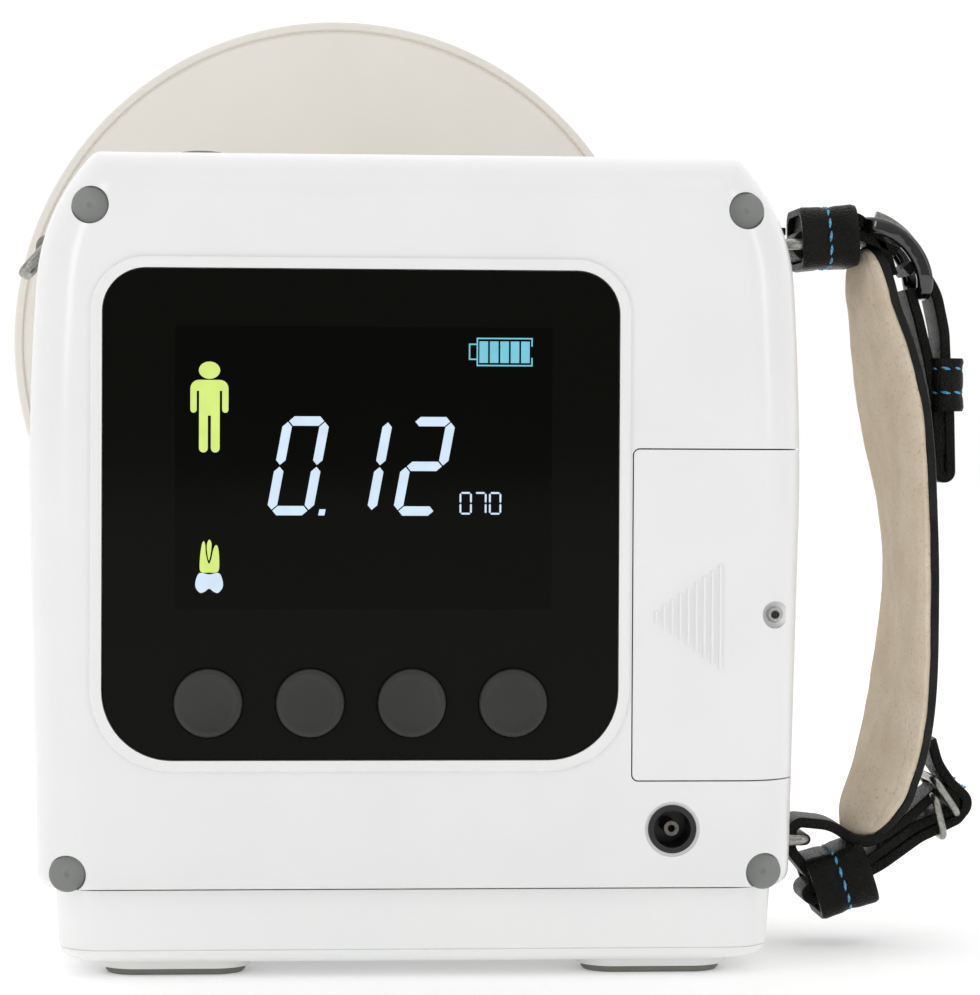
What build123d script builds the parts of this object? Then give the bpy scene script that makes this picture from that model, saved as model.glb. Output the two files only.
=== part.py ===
from build123d import *
from math import cos, pi, sin
import os

# Portable dental x-ray unit, handheld: housing, display, battery door, beam cone and hand strap.
# X runs to the right of the operator who reads the display, Y away from the operator along the
# beam, Z up. The soles of the feet lie on z = 0 and the origin is midway between the four feet.

os.makedirs("parts", exist_ok=True)

# Housing envelope
body_width = 146.0
body_depth = 95.0
wide_height = 89.6
top_height = 155.2
skirt_height = 16.9
top_width = 121.4
roll_height = 130.6
crown_draw = 1.3
base_draw = 1.8
top_corner = 2.6
base_corner = 3.2
corner_follow = 0.45
wall = 2.5
seam_y = -12.0
overcut = 1.0

# Rounding of the face: how far it draws in at the sides, top and base, and how deep it is
face_round = 11.0
face_round_top = 8.5
face_round_base = 1.0
back_round = 7.0
back_round_base = 3.0
round_steps = 4

# Base skirt, bottom plate and feet
base_width = 133.6
base_depth = 84.0
base_plan_corner = 12.0
base_lean = 0.6
plate_top = 5.0
plate_bottom = 2.9
plate_edge = 1.0
foot_width = 26.5
foot_depth = 12.0
foot_height = 1.3
foot_chamfer = 0.5
foot_x = 45.4
foot_y = 31.0
boss_edge = 0.9
bottom_screw = 3.0
bottom_head = 5.6
bottom_head_height = 1.4
bottom_boss = 7.0
bottom_screw_x = 56.0
bottom_screw_y = 14.0

# Display window: black glass in a raised rim
glass_width = 96.0
glass_height = 91.2
glass_x = -10.8
glass_z = 87.3
glass_top_corner = 8.0
glass_base_corner = 13.0
glass_thickness = 1.6
glass_sunk = 0.4
glass_gap = 0.15
glass_edge = 0.3
rim_width = 2.3
rim_proud = 0.7
rim_soft = 0.5
tape_thickness = 0.2
tape_width = 2.5

# Display buttons and their switches
button_diameter = 12.8
button_inset = 19.62
button_rise = 10.6
button_proud = 1.5
button_gap = 0.2
button_flange = 14.4
flange_thickness = 0.8
button_travel = 0.8
button_dish = 0.35
button_dish_radius = 3.6
button_bevel = 0.8
stem_diameter = 4.0
stem_length = 1.3
switch_side = 6.0
switch_height = 3.5
switch_plunger = 3.0
plunger_height = 1.0
stop_clearance = 0.3
seat_gap = 0.1

# LCD module and main board
lcd_width = 78.0
lcd_height = 60.0
lcd_thickness = 3.6
lcd_x = -10.4
lcd_z = 98.0
lcd_window_edge = 3.0
lcd_frame_wall = 1.0
lcd_leg = 3.0
lcd_leg_x = 36.0
lcd_leg_z = 27.0
board_thickness = 1.6
board_width = 88.0
board_height = 104.0
board_z = 93.6
board_screw_head = 5.0
board_screw_height = 1.8
chip_side = 8.0
chip_height = 2.0
post_diameter = 5.0
post_inset = 4.5
board_edge = 1.0

# Corner plugs and housing screws
plug_diameter = 6.9
plug_depth = 3.4
plug_sunk = 0.2
plug_top_x = 61.3
plug_top_z = 144.6
plug_base_x = 65.2
plug_base_z = 20.3
plug_dimple = 0.9
plug_dimple_depth = 1.0
well_wall = 1.4
screw_shank = 3.0
screw_head = 5.6
screw_head_height = 2.6
screw_boss_length = 9.0
pilot_wall = 2.2

# Battery door, its screw, the bay and the pack
door_land = 0.6
door_base = 37.7
door_top = 99.7
door_wrap = 14.5
door_gap = 0.25
door_corner = 1.1
rib_count = 9
rib_pitch = 1.51
rib_width = 0.55
rib_proud = 0.35
rib_lead = 1.0
rib_last_half = 9.75
rib_inset = 4.4
rib_z = 68.4
door_screw_x = 67.2
door_screw_z = 68.7
door_screw_head = 3.0
door_screw_head_height = 1.6
door_screw_shank = 1.6
door_screw_length = 11.2
door_screw_sunk = 1.8
door_well = 5.2
door_well_floor = 7.4
door_well_wall = 1.2
door_boss = 5.2
hex_across = 1.5
hex_depth = 0.9
insert_diameter = 3.4
insert_length = 4.0
boss_web = 6.0
running_gap = 0.08
bay_wall = 1.5
bay_inset = 2.05
bay_depth = 30.0
bay_margin = 1.5
bay_flange = 2.8
bay_lip = 1.0
pack_gap = 0.4
pack_corner = 1.5
contact_count = 3
contact_pitch = 8.0
contact_width = 3.0
contact_height = 1.5

# DC charging socket
dc_x = 47.7
dc_z = 28.5
dc_recess = 10.4
dc_recess_depth = 0.5
dc_flange = 9.1
dc_flange_proud = 0.4
dc_barrel = 8.2
dc_bore = 7.0
dc_depth = 9.0
dc_back = 1.5
dc_pin_diameter = 2.8
dc_pin_bore = 1.4
dc_pin_sunk = 1.0
dc_nut_across = 11.0
dc_nut_thickness = 2.0

# Power button on the top
power_x = -41.0
power_y = -26.0
power_diameter = 11.0
power_proud = 2.3
power_dome = 1.4
power_travel = 1.0
power_flange = 13.0
power_stem = 2.0
power_post_x = 10.5

# Beam line: tank, tube, filter, nose and cone
beam_x = -11.5
beam_z = 123.6
tank_width = 66.0
tank_height = 50.0
tank_depth = 50.0
tank_clear = 4.0
tank_wall = 3.0
tank_post = 7.0
tank_post_x = 27.0
tank_post_z = 20.0
tube_inset = 19.0
tube_diameter = 26.0
tube_neck = 12.0
tube_bulb = 40.0
tube_shoulder = 7.0
transformer_width = 44.0
transformer_depth = 12.0
port_diameter = 18.0
filter_diameter = 30.0
filter_thickness = 2.0
nose_diameter = 62.0
nose_length = 13.0
nose_draft = 1.0
beam_hole = 44.0
cone_diameter = 56.0
cone_wall = 2.5
cone_length = 88.0
cone_seat = 2.0
cone_relief = 0.5
cone_relief_length = 1.5
collimator_thickness = 2.5
collimator_lap = 1.4
collimator_bore = 20.0
end_ring_length = 4.0
end_ring_front = 2.5
end_ring_proud = 0.9

# Backscatter shield and its collar
shield_diameter = 150.0
shield_thickness = 3.0
shield_inset = 21.5
shield_rim = 2.0
shield_rim_height = 0.8
collar_diameter = 66.0
collar_step = 2.0
collar_length = 10.0
collar_wall = 2.0

# Exposure button on the patient side
trigger_x = 46.0
trigger_z = 113.6
trigger_diameter = 15.0
trigger_proud = 3.0
trigger_soft = 1.2
trigger_travel = 2.0
trigger_flange = 18.0
trigger_bezel = 20.0
trigger_stem = 2.5
trigger_switch_side = 11.0
trigger_switch_depth = 8.0
bezel_proud = 1.0
bezel_soft = 0.5
rib_thickness = 2.0

# Strap lugs and rings
lug_y = 0.0
upper_lug_z = 140.6
lower_lug_z = 21.6
swing_x = 73.6
pin_radius = 1.0
ear_thickness = 1.4
ear_gap = 0.25
ear_radius = 2.3
eye_height = 4.0
eye_radius = 2.0
lug_shank = 5.0
lug_root = 63.0
lug_face = 71.2
wire = 2.2
ring_near = 1.3
ring_neck = 3.6
ring_shoulder = 2.0
ring_reach = 6.0
ring_span = 15.4
ring_bend = 1.3
left_lug_z = 139.1
left_pin_x = -71.6
left_pin_z = 139.1
left_eye = 2.4
left_wire = 2.2
left_reach = 9.9
left_span = 14.0
left_lean = 28.0
left_bend = 2.4

# Hand strap, laid out in the plane of the two lugs
strap_width = 12.0
strap_thickness = 1.6
strap_gap = 0.15
pad_width = 45.0
pad_end_width = 24.0
pad_leather = 1.5
pad_lining_thickness = 2.6
pad_top = (92.8, 137.6)
pad_middle = (101.4, 79.6)
pad_base = (90.6, 25.0)
keeper_wall = 1.4
keeper_corner = 3.0
keeper_length = 12.0
keeper_height = 12.8
keeper_width = 20.8
upper_keeper_centre = (83.9, 141.7)
upper_tab_x = 90.0
upper_strap_points = [(90.6, 142.65), (97.2, 139.2)]
upper_strap_bends = [6.0]
buckle_width = 17.0
cheek_thickness = 1.8
cheek_height = 2.2
buckle_bar = 2.0
buckle_top = (93.0, 145.2)
buckle_bow = (99.6, 140.2)
buckle_base = (102.65, 130.8)
prong_width = 1.6
prong_thickness = 1.2
prong_top = (94.2, 147.2)
prong_bow = (101.6, 142.0)
prong_base = (105.0, 131.2)
tail_inner_ply = [(104.9, 99.6), (104.6, 120.6), (99.9, 132.6)]
tail_outer_ply = [(103.2, 137.2), (108.0, 115.6), (107.6, 89.6)]
tail_bends = [20.0, 2.0, 1.7, 30.0]
tail_keeper_centre = (106.3, 114.6)
tail_keeper_length = 9.5
tail_keeper_height = 8.4
tail_keeper_width = 17.0
lower_upper_ply = [(94.0, 21.0), (87.0, 23.65)]
lower_upper_bends = [6.0]
lower_under_drop = 16.2
lower_under_ply = [(80.6, 11.2), (98.4, 16.8), (110.0, 23.8), (110.6, 32.1)]
lower_under_bends = [3.0, 2.4, 20.0, 3.0]
lower_tab_points = [(82.6, 14.8), (97.6, 19.7), (103.6, 24.0)]
lower_tab_bends = [20.0]
lower_keeper_centre = (86.1, 13.6)
lower_keeper_turn = 18.0
lower_buckle_start = (103.9, 31.4)
lower_buckle_lean = 12.0
lower_buckle_reach = 8.2
buckle_wire = 1.7
buckle_bend = 2.0

front_y = -body_depth / 2
back_y = body_depth / 2


def outline(y, side_in, top_in, base_in):
    """Silhouette of the housing at depth y, drawn in at the sides, the top and the base."""
    wide = (body_width / 2 - side_in, wide_height)
    foot = (body_width / 2 - base_draw - side_in, skirt_height + base_in)
    roll = (body_width / 2 - crown_draw - side_in, roll_height)
    corner = (top_width / 2 - corner_follow * side_in, top_height - top_in)
    with BuildSketch(Plane.XZ.offset(-y)) as sketch:
        with BuildLine():
            Line((0, foot[1]), foot)
            Line(foot, wide)
            crown = TangentArc(wide, roll, tangent=(0, 1))
            TangentArc(roll, corner, tangent=crown % 1)
            Line(corner, (0, corner[1]))
            mirror(about=Plane.YZ)
        make_face()
        fillet(sketch.vertices().group_by(Axis.Y)[-1], top_corner)
        fillet(sketch.vertices().group_by(Axis.Y)[0], base_corner)
    return sketch.sketch


def face_sections(inset):
    """Outlines that turn the face into the sides, inset by the wall for the inner skin."""
    sections = []
    for step in range(round_steps + 1):
        turn = pi / 2 * step / round_steps
        sections.append(
            outline(
                front_y + face_round - (face_round - inset) * cos(turn),
                face_round - (face_round - inset) * sin(turn),
                face_round_top - (face_round_top - inset) * sin(turn),
                face_round_base - (face_round_base - inset) * sin(turn),
            )
        )
    return sections


def back_sections(inset):
    """Outlines that turn the sides into the patient-side face."""
    sections = []
    for step in range(round_steps + 1):
        turn = pi / 2 * step / round_steps
        sections.append(
            outline(
                back_y - back_round + (back_round - inset) * sin(turn),
                back_round - (back_round - inset) * cos(turn),
                back_round - (back_round - inset) * cos(turn),
                back_round_base - (back_round_base - inset) * cos(turn),
            )
        )
    return sections


def housing_form(inset):
    """The whole housing as one closed form, outer skin at inset 0 and inner skin at the wall."""
    face = face_sections(inset)
    back = back_sections(inset)
    with BuildPart() as form:
        loft(face)
        extrude(face[-1], amount=-(back_y - back_round - front_y - face_round))
        loft(back)
    return form.part


def slab(x, y, z, mode=Mode.ADD):
    """A box between a low and a high value on each axis."""
    with Locations(((x[0] + x[1]) / 2, (y[0] + y[1]) / 2, (z[0] + z[1]) / 2)):
        Box(x[1] - x[0], y[1] - y[0], z[1] - z[0], mode=mode)


def bar(x, z, y0, y1, diameter, mode=Mode.ADD):
    """A round bar along Y, from y0 back to y1."""
    with Locations(Location((x, y1, z), (90, 0, 0))):
        Cylinder(diameter / 2, y1 - y0, align=(Align.CENTER, Align.CENTER, Align.MIN), mode=mode)


def screen_outline(grow, y):
    """Outline of the display window, grown outwards, on a plane at depth y."""
    with BuildSketch(Plane.XZ.offset(-y)) as sketch:
        with Locations((glass_x, glass_z)):
            Rectangle(glass_width + 2 * grow, glass_height + 2 * grow)
        fillet(sketch.vertices().group_by(Axis.Y)[-1], glass_top_corner + grow)
        fillet(sketch.vertices().group_by(Axis.Y)[0], glass_base_corner + grow)
    return sketch.sketch


def door_block(grow):
    """Space of the battery door, wrapped round the right corner, grown by the seam."""
    with BuildPart() as block:
        slab(
            (door_left - grow, far),
            (-far, front_y + door_wrap + grow),
            (door_base - grow, door_top + grow),
        )
        fillet(block.edges().filter_by(Axis.Y).group_by(Axis.X)[0], door_corner + grow)
    return block.part


def write(piece, name):
    """Label a finished piece and write it to its own file."""
    piece.part.label = name
    export_step(piece.part, "parts/" + name + ".step")


# Places worked out from the sizes above
far = 2 * body_width
inner_top = top_height - wall
button_pitch = (glass_width - 2 * button_inset) / 3
button_z = glass_z - glass_height / 2 + button_rise
button_x = [glass_x + button_pitch * (place - 1.5) for place in range(4)]
plug_places = [
    (-plug_top_x, plug_top_z),
    (plug_top_x, plug_top_z),
    (-plug_base_x, plug_base_z),
    (plug_base_x, plug_base_z),
]
glass_front = front_y - rim_proud + glass_sunk
glass_back = glass_front + glass_thickness
face_back = front_y + wall
plug_floor = front_y + plug_depth
head_floor = plug_floor + screw_head_height
lcd_front = face_back + seat_gap
lcd_back = lcd_front + lcd_thickness
flange_front = glass_back + button_gap
stem_back = flange_front + flange_thickness + stem_length
plunger_front = stem_back + button_travel + stop_clearance
board_front = plunger_front + switch_height
board_back = board_front + board_thickness
post_places = [
    (glass_x + side * (board_width / 2 - post_inset), board_z + up * (board_height / 2 - post_inset))
    for side in (-1, 1)
    for up in (-1, 1)
]

foot_places = [(side * foot_x, deep * foot_y) for deep in (-1, 1) for side in (-1, 1)]
bottom_screw_places = [
    (side * bottom_screw_x, deep * bottom_screw_y) for deep in (-1, 1) for side in (-1, 1)
]
door_left = glass_x + glass_width / 2 + rim_width + door_land
rib_x = door_left + rib_inset
head_seat = front_y + door_screw_sunk + door_screw_head_height
insert_front = head_seat + door_well_floor + door_gap
boss_back = front_y + door_wrap + 2 * door_gap + boss_web
bay_right = door_screw_x - door_well / 2 - door_well_wall - door_gap
bay_left = door_left + bay_inset
bay_x = (bay_left + bay_right) / 2
bay_base = door_base + bay_margin
bay_top = door_top - bay_margin
bay_back = face_back + bay_depth
dc_face = front_y + dc_recess_depth
power_stem_end = inner_top - button_gap - flange_thickness - power_stem
power_board_top = power_stem_end - power_travel - stop_clearance - switch_height
tank_back = back_y - wall - tank_clear
tank_front = tank_back - tank_depth
tube_y = tank_back - tube_inset
tank_x = (beam_x - tank_width / 2, beam_x + tank_width / 2)
tank_z = (beam_z - tank_height / 2, beam_z + tank_height / 2)
nose_back = back_y + nose_length
cone_front = back_y + cone_seat
cone_back = cone_front + cone_length
cone_bore = cone_diameter - 2 * cone_wall
collimator_diameter = cone_bore + 2 * collimator_lap
collimator_front = cone_front - collimator_thickness
collar_bore = cone_diameter + 2 * running_gap
shield_y = cone_back - shield_inset
trigger_back = back_y + trigger_proud
rib_spread = trigger_flange / 2 + 2 * button_gap
trigger_stem_end = back_y - wall - button_gap - flange_thickness - trigger_stem
trigger_switch_back = trigger_stem_end - trigger_travel - stop_clearance
trigger_switch_front = trigger_switch_back - trigger_switch_depth
beam_axis = Axis((beam_x, 0, beam_z), (0, 1, 0))
low = (Align.CENTER, Align.CENTER, Align.MIN)
high = (Align.CENTER, Align.CENTER, Align.MAX)

ear_low = eye_height / 2 + ear_gap
ear_top = ear_low + ear_thickness

outer_skin = housing_form(0)
inner_skin = housing_form(wall)

# Front housing: crowned shell with the display recess, screw wells and battery pocket
with BuildPart() as front_housing:
    add(outer_skin)
    add(inner_skin, mode=Mode.SUBTRACT)
    for x, z in plug_places:
        bar(x, z, front_y, seam_y, plug_diameter + 2 * well_wall)
    add(outer_skin, mode=Mode.INTERSECT)
    slab((-far, far), (seam_y, far), (-far, far), mode=Mode.SUBTRACT)
    extrude(screen_outline(rim_width, front_y), amount=rim_proud)
    fillet(front_housing.edges().group_by(Axis.Y)[0], rim_soft)
    extrude(screen_outline(glass_gap, glass_back), amount=far, mode=Mode.SUBTRACT)
    slab(
        (lcd_x - lcd_width / 2 + lcd_window_edge, lcd_x + lcd_width / 2 - lcd_window_edge),
        (glass_back - overcut, lcd_front),
        (lcd_z - lcd_height / 2 + lcd_window_edge, lcd_z + lcd_height / 2 - lcd_window_edge),
        mode=Mode.SUBTRACT,
    )
    for x in button_x:
        bar(x, button_z, -far, lcd_front, button_flange + 2 * button_gap, mode=Mode.SUBTRACT)
    for x, z in plug_places:
        bar(x, z, -far, plug_floor, plug_diameter + 2 * seat_gap, mode=Mode.SUBTRACT)
        bar(x, z, -far, head_floor, screw_head + 2 * seat_gap, mode=Mode.SUBTRACT)
        bar(x, z, -far, seam_y + overcut, screw_shank + 2 * seat_gap, mode=Mode.SUBTRACT)
    for x, z in post_places:
        bar(x, z, face_back - seat_gap, board_front, post_diameter)
    add(door_block(door_gap), mode=Mode.SUBTRACT)
    bar(dc_x, dc_z, -far, front_y + dc_recess_depth, dc_recess, mode=Mode.SUBTRACT)
    bar(dc_x, dc_z, -far, face_back + overcut, dc_barrel + 2 * seat_gap, mode=Mode.SUBTRACT)
    # Boss behind the door for the threaded insert, carried by a web from the side wall
    bar(door_screw_x, door_screw_z, insert_front, boss_back, door_boss)
    slab(
        (door_screw_x, body_width / 2 - wall + seat_gap),
        (boss_back - boss_web, boss_back),
        (door_screw_z - door_boss / 2, door_screw_z + door_boss / 2),
    )
    bar(
        door_screw_x, door_screw_z, insert_front, insert_front + insert_length,
        insert_diameter, mode=Mode.SUBTRACT,
    )
    bar(
        door_screw_x, door_screw_z, insert_front, boss_back - well_wall,
        door_screw_shank + 2 * running_gap, mode=Mode.SUBTRACT,
    )
    # Power button hole and the two posts that carry its switch
    with Locations((power_x, power_y, inner_top)):
        Cylinder(power_diameter / 2 + button_gap, far, align=low, mode=Mode.SUBTRACT)
    with Locations(
        *[(power_x + side * power_post_x, power_y, inner_top) for side in (-1, 1)]
    ):
        Cylinder(
            post_diameter / 2,
            inner_top - power_board_top,
            align=high,
        )
write(front_housing, "front_housing")

# Rear housing: patient-side shell with the beam nose, lug pockets and screw bosses
with BuildPart() as rear_housing:
    add(outer_skin)
    add(inner_skin, mode=Mode.SUBTRACT)
    for x, z in plug_places:
        bar(x, z, seam_y, seam_y + screw_boss_length, screw_shank + 2 * pilot_wall)
    add(outer_skin, mode=Mode.INTERSECT)
    slab((-far, far), (-far, seam_y), (-far, far), mode=Mode.SUBTRACT)
    with BuildSketch(Plane.XZ.offset(-back_y + wall)):
        with Locations((beam_x, beam_z)):
            Circle(nose_diameter / 2)
    extrude(amount=-(nose_length + wall), taper=nose_draft)
    bar(beam_x, beam_z, back_y - far, nose_back + overcut, beam_hole, mode=Mode.SUBTRACT)
    bar(beam_x, beam_z, cone_front, nose_back + overcut, cone_diameter + 2 * seat_gap, mode=Mode.SUBTRACT)
    bar(
        beam_x, beam_z, collimator_front, nose_back,
        collimator_diameter + 2 * seat_gap, mode=Mode.SUBTRACT,
    )
    for x, z in plug_places:
        bar(
            x, z, seam_y - overcut, seam_y + screw_boss_length - wall,
            screw_shank + 2 * seat_gap, mode=Mode.SUBTRACT,
        )
    for side in (-1, 1):
        for up in (-1, 1):
            bar(
                beam_x + side * tank_post_x, beam_z + up * tank_post_z,
                tank_back, back_y - wall + seat_gap, tank_post,
            )
    # Hole of the exposure button and the two ribs that hold its switch
    bar(
        trigger_x, trigger_z, back_y - 2 * wall, far,
        trigger_diameter + 2 * button_gap, mode=Mode.SUBTRACT,
    )
    for side in (-1, 1):
        near = trigger_x + side * rib_spread
        rib = sorted((near, near + side * rib_thickness))
        slab(
            rib,
            (trigger_switch_front, back_y - wall + seat_gap),
            (trigger_z - trigger_switch_side / 2, trigger_z + trigger_switch_side / 2),
        )
    # Pockets through the side walls for the strap lugs
    for height in (upper_lug_z, lower_lug_z):
        slab(
            (lug_root - seat_gap, far),
            (lug_y - lug_shank / 2 - seat_gap, lug_y + lug_shank / 2 + seat_gap),
            (height - ear_top - seat_gap, height + ear_top + seat_gap),
            mode=Mode.SUBTRACT,
        )
    slab(
        (-far, seat_gap - lug_root),
        (lug_y - lug_shank / 2 - seat_gap, lug_y + lug_shank / 2 + seat_gap),
        (left_lug_z - lug_shank / 2 - seat_gap, left_lug_z + lug_shank / 2 + seat_gap),
        mode=Mode.SUBTRACT,
    )
write(rear_housing, "rear_housing")

# Base skirt, narrower than the housing above it
with BuildPart() as base_skirt:
    with BuildSketch(Plane.XY.offset(plate_top)):
        RectangleRounded(base_width - 2 * base_lean, base_depth - 2 * base_lean, base_plan_corner)
    with BuildSketch(Plane.XY.offset(skirt_height)):
        RectangleRounded(base_width, base_depth, base_plan_corner + base_lean)
    loft()
    with BuildSketch(Plane.XY.offset(plate_top)):
        RectangleRounded(
            base_width - 2 * wall - 2 * base_lean, base_depth - 2 * wall - 2 * base_lean,
            base_plan_corner - wall,
        )
    extrude(amount=skirt_height - plate_top - wall, mode=Mode.SUBTRACT)
    with Locations(*[(x, y, skirt_height) for x, y in bottom_screw_places]):
        Cylinder(
            bottom_boss / 2, skirt_height - plate_top,
            align=high,
        )
    with Locations(*[(x, y, plate_top) for x, y in bottom_screw_places]):
        Cylinder(
            bottom_screw / 2 + seat_gap, skirt_height - plate_top - wall,
            align=low, mode=Mode.SUBTRACT,
        )
write(base_skirt, "base_skirt")

# Bottom plate with a rounded lower edge and the four foot bosses
with BuildPart() as bottom_plate:
    with BuildSketch(Plane.XY.offset(plate_bottom)):
        RectangleRounded(base_width - 2 * base_lean, base_depth - 2 * base_lean, base_plan_corner)
    extrude(amount=plate_top - plate_bottom)
    chamfer(bottom_plate.faces().sort_by(Axis.Z)[0].edges(), plate_edge, plate_edge * 2)
    with BuildSketch(Plane.XY.offset(plate_bottom)):
        with Locations(*foot_places):
            SlotOverall(foot_width + 2 * boss_edge, foot_depth + 2 * boss_edge)
    extrude(amount=-(plate_bottom - foot_height))
    with Locations(*[(x, y, plate_bottom) for x, y in bottom_screw_places]):
        Cylinder(
            bottom_screw / 2 + seat_gap, plate_top, mode=Mode.SUBTRACT,
        )
        Cylinder(
            bottom_head / 2 + seat_gap, bottom_head_height,
            align=low, mode=Mode.SUBTRACT,
        )
write(bottom_plate, "bottom_plate")

# Four rubber feet, chamfered at the sole
with BuildPart() as foot_pads:
    with BuildSketch():
        with Locations(*foot_places):
            SlotOverall(foot_width, foot_depth)
    extrude(amount=foot_height)
    chamfer(foot_pads.edges().group_by(Axis.Z)[0], foot_chamfer)
write(foot_pads, "foot_pads")

# Screws that hold the bottom plate and skirt
with BuildPart() as bottom_screws:
    with Locations(*[(x, y, plate_bottom) for x, y in bottom_screw_places]):
        Cylinder(bottom_head / 2, bottom_head_height, align=low)
        Cylinder(bottom_screw / 2, skirt_height - plate_bottom - wall - stop_clearance, align=low)
write(bottom_screws, "bottom_screws")

# Housing screws in the four wells
with BuildPart() as housing_screws:
    for x, z in plug_places:
        bar(x, z, plug_floor, head_floor, screw_head)
        bar(x, z, head_floor, seam_y + screw_boss_length - 2 * wall, screw_shank)
write(housing_screws, "housing_screws")

# Corner plugs, cut flush with the crowned face and dimpled
with BuildPart() as corner_plugs:
    for x, z in plug_places:
        bar(x, z, front_y - face_round, plug_floor, plug_diameter)
    add(Pos(0, plug_sunk, 0) * outer_skin, mode=Mode.INTERSECT)
    for x, z in plug_places:
        bar(x, z, front_y - face_round, front_y + plug_sunk + plug_dimple_depth, plug_dimple,
            mode=Mode.SUBTRACT)
write(corner_plugs, "corner_plugs")

# Display window with four button holes, and the frame of tape under its edge
with BuildPart() as display_window:
    extrude(screen_outline(0, glass_back - tape_thickness), amount=glass_thickness - tape_thickness)
    fillet(display_window.edges().group_by(Axis.Y)[0], glass_edge)
    for x in button_x:
        bar(x, button_z, -far, face_back, button_diameter + 2 * button_gap, mode=Mode.SUBTRACT)
write(display_window, "display_window")

with BuildPart() as window_tape:
    extrude(screen_outline(-seat_gap, glass_back), amount=tape_thickness)
    extrude(screen_outline(-tape_width, glass_back), amount=tape_thickness, mode=Mode.SUBTRACT)
write(window_tape, "window_tape")

# Four display buttons: dished cap, bevelled rim, retaining flange and stem
for number, x in enumerate(button_x):
    with BuildPart() as display_button:
        with BuildSketch(Plane.YZ.offset(x)) as half:
            with BuildLine():
                Polyline(
                    (glass_front - button_proud + button_dish, button_z),
                    (glass_front - button_proud + button_dish, button_z + button_dish_radius),
                    (glass_front - button_proud, button_z + button_diameter / 2 - button_bevel),
                    (glass_front - button_proud + button_bevel, button_z + button_diameter / 2),
                    (flange_front, button_z + button_diameter / 2),
                    (flange_front, button_z + button_flange / 2),
                    (flange_front + flange_thickness, button_z + button_flange / 2),
                    (flange_front + flange_thickness, button_z + stem_diameter / 2),
                    (stem_back, button_z + stem_diameter / 2),
                    (stem_back, button_z),
                    close=True,
                )
            make_face()
        revolve(axis=Axis((x, 0, button_z), (0, 1, 0)))
    write(display_button, "display_button_" + str(number + 1))

# Tact switches on the board, one behind each button
with BuildPart() as tact_switches:
    for x in button_x:
        bar(x, button_z, plunger_front, board_front, switch_plunger)
        slab(
            (x - switch_side / 2, x + switch_side / 2),
            (plunger_front + plunger_height, board_front),
            (button_z - switch_side / 2, button_z + switch_side / 2),
        )
write(tact_switches, "tact_switches")

# LCD cell in its metal frame, whose four legs stand on the board
with BuildPart() as lcd_panel:
    slab(
        (lcd_x - lcd_width / 2 + lcd_frame_wall, lcd_x + lcd_width / 2 - lcd_frame_wall),
        (lcd_front, lcd_back - lcd_frame_wall),
        (lcd_z - lcd_height / 2 + lcd_frame_wall, lcd_z + lcd_height / 2 - lcd_frame_wall),
    )
write(lcd_panel, "lcd_panel")

with BuildPart() as lcd_frame:
    slab(
        (lcd_x - lcd_width / 2, lcd_x + lcd_width / 2),
        (lcd_front, lcd_back),
        (lcd_z - lcd_height / 2, lcd_z + lcd_height / 2),
    )
    add(lcd_panel.part, mode=Mode.SUBTRACT)
    for side in (-1, 1):
        for up in (-1, 1):
            bar(
                lcd_x + side * lcd_leg_x, lcd_z + up * lcd_leg_z,
                lcd_back, board_front, lcd_leg,
            )
write(lcd_frame, "lcd_frame")

# Main board on four posts of the front housing
with BuildPart() as main_board:
    slab(
        (glass_x - board_width / 2, glass_x + board_width / 2),
        (board_front, board_back),
        (board_z - board_height / 2, board_z + board_height / 2),
    )
    slab(
        (glass_x - chip_side, glass_x + chip_side),
        (board_back, board_back + chip_height),
        (board_z - chip_side, board_z + chip_side),
    )
    for x, z in post_places:
        bar(x, z, board_back, board_back + board_screw_height, board_screw_head)
write(main_board, "main_board")

# Battery door: a piece of the crowned skin with grip ribs and the screw's well
with BuildPart() as battery_door:
    add(outer_skin)
    add(inner_skin, mode=Mode.SUBTRACT)
    bar(
        door_screw_x, door_screw_z, front_y, head_seat + door_well_floor,
        door_well + 2 * door_well_wall,
    )
    add(outer_skin, mode=Mode.INTERSECT)
    add(door_block(0), mode=Mode.INTERSECT)
    for rib in range(rib_count):
        half = rib_last_half * (rib + rib_lead) / (rib_count - 1 + rib_lead)
        x = rib_x + rib * rib_pitch
        slab(
            (x - rib_width / 2, x + rib_width / 2),
            (front_y - rib_proud, front_y + seat_gap),
            (rib_z - half, rib_z + half),
        )
    bar(door_screw_x, door_screw_z, -far, head_seat, door_well, mode=Mode.SUBTRACT)
    bar(
        door_screw_x, door_screw_z, -far, far,
        door_screw_shank + 2 * running_gap, mode=Mode.SUBTRACT,
    )
write(battery_door, "battery_door")

# Door screw: socket head, hexagon socket and shank
with BuildPart() as door_screw:
    bar(door_screw_x, door_screw_z, head_seat - door_screw_head_height, head_seat, door_screw_head)
    bar(door_screw_x, door_screw_z, head_seat, head_seat + door_screw_length, door_screw_shank)
    with BuildSketch(Plane.XZ.offset(door_screw_head_height - head_seat)):
        with Locations((door_screw_x, door_screw_z)):
            RegularPolygon(hex_across / 2, 6, major_radius=False)
    extrude(amount=-hex_depth, mode=Mode.SUBTRACT)
write(door_screw, "door_screw")

with BuildPart() as door_insert:
    bar(door_screw_x, door_screw_z, insert_front, insert_front + insert_length, insert_diameter)
    bar(
        door_screw_x, door_screw_z, -far, far,
        door_screw_shank + 2 * running_gap, mode=Mode.SUBTRACT,
    )
write(door_insert, "door_insert")

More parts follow.
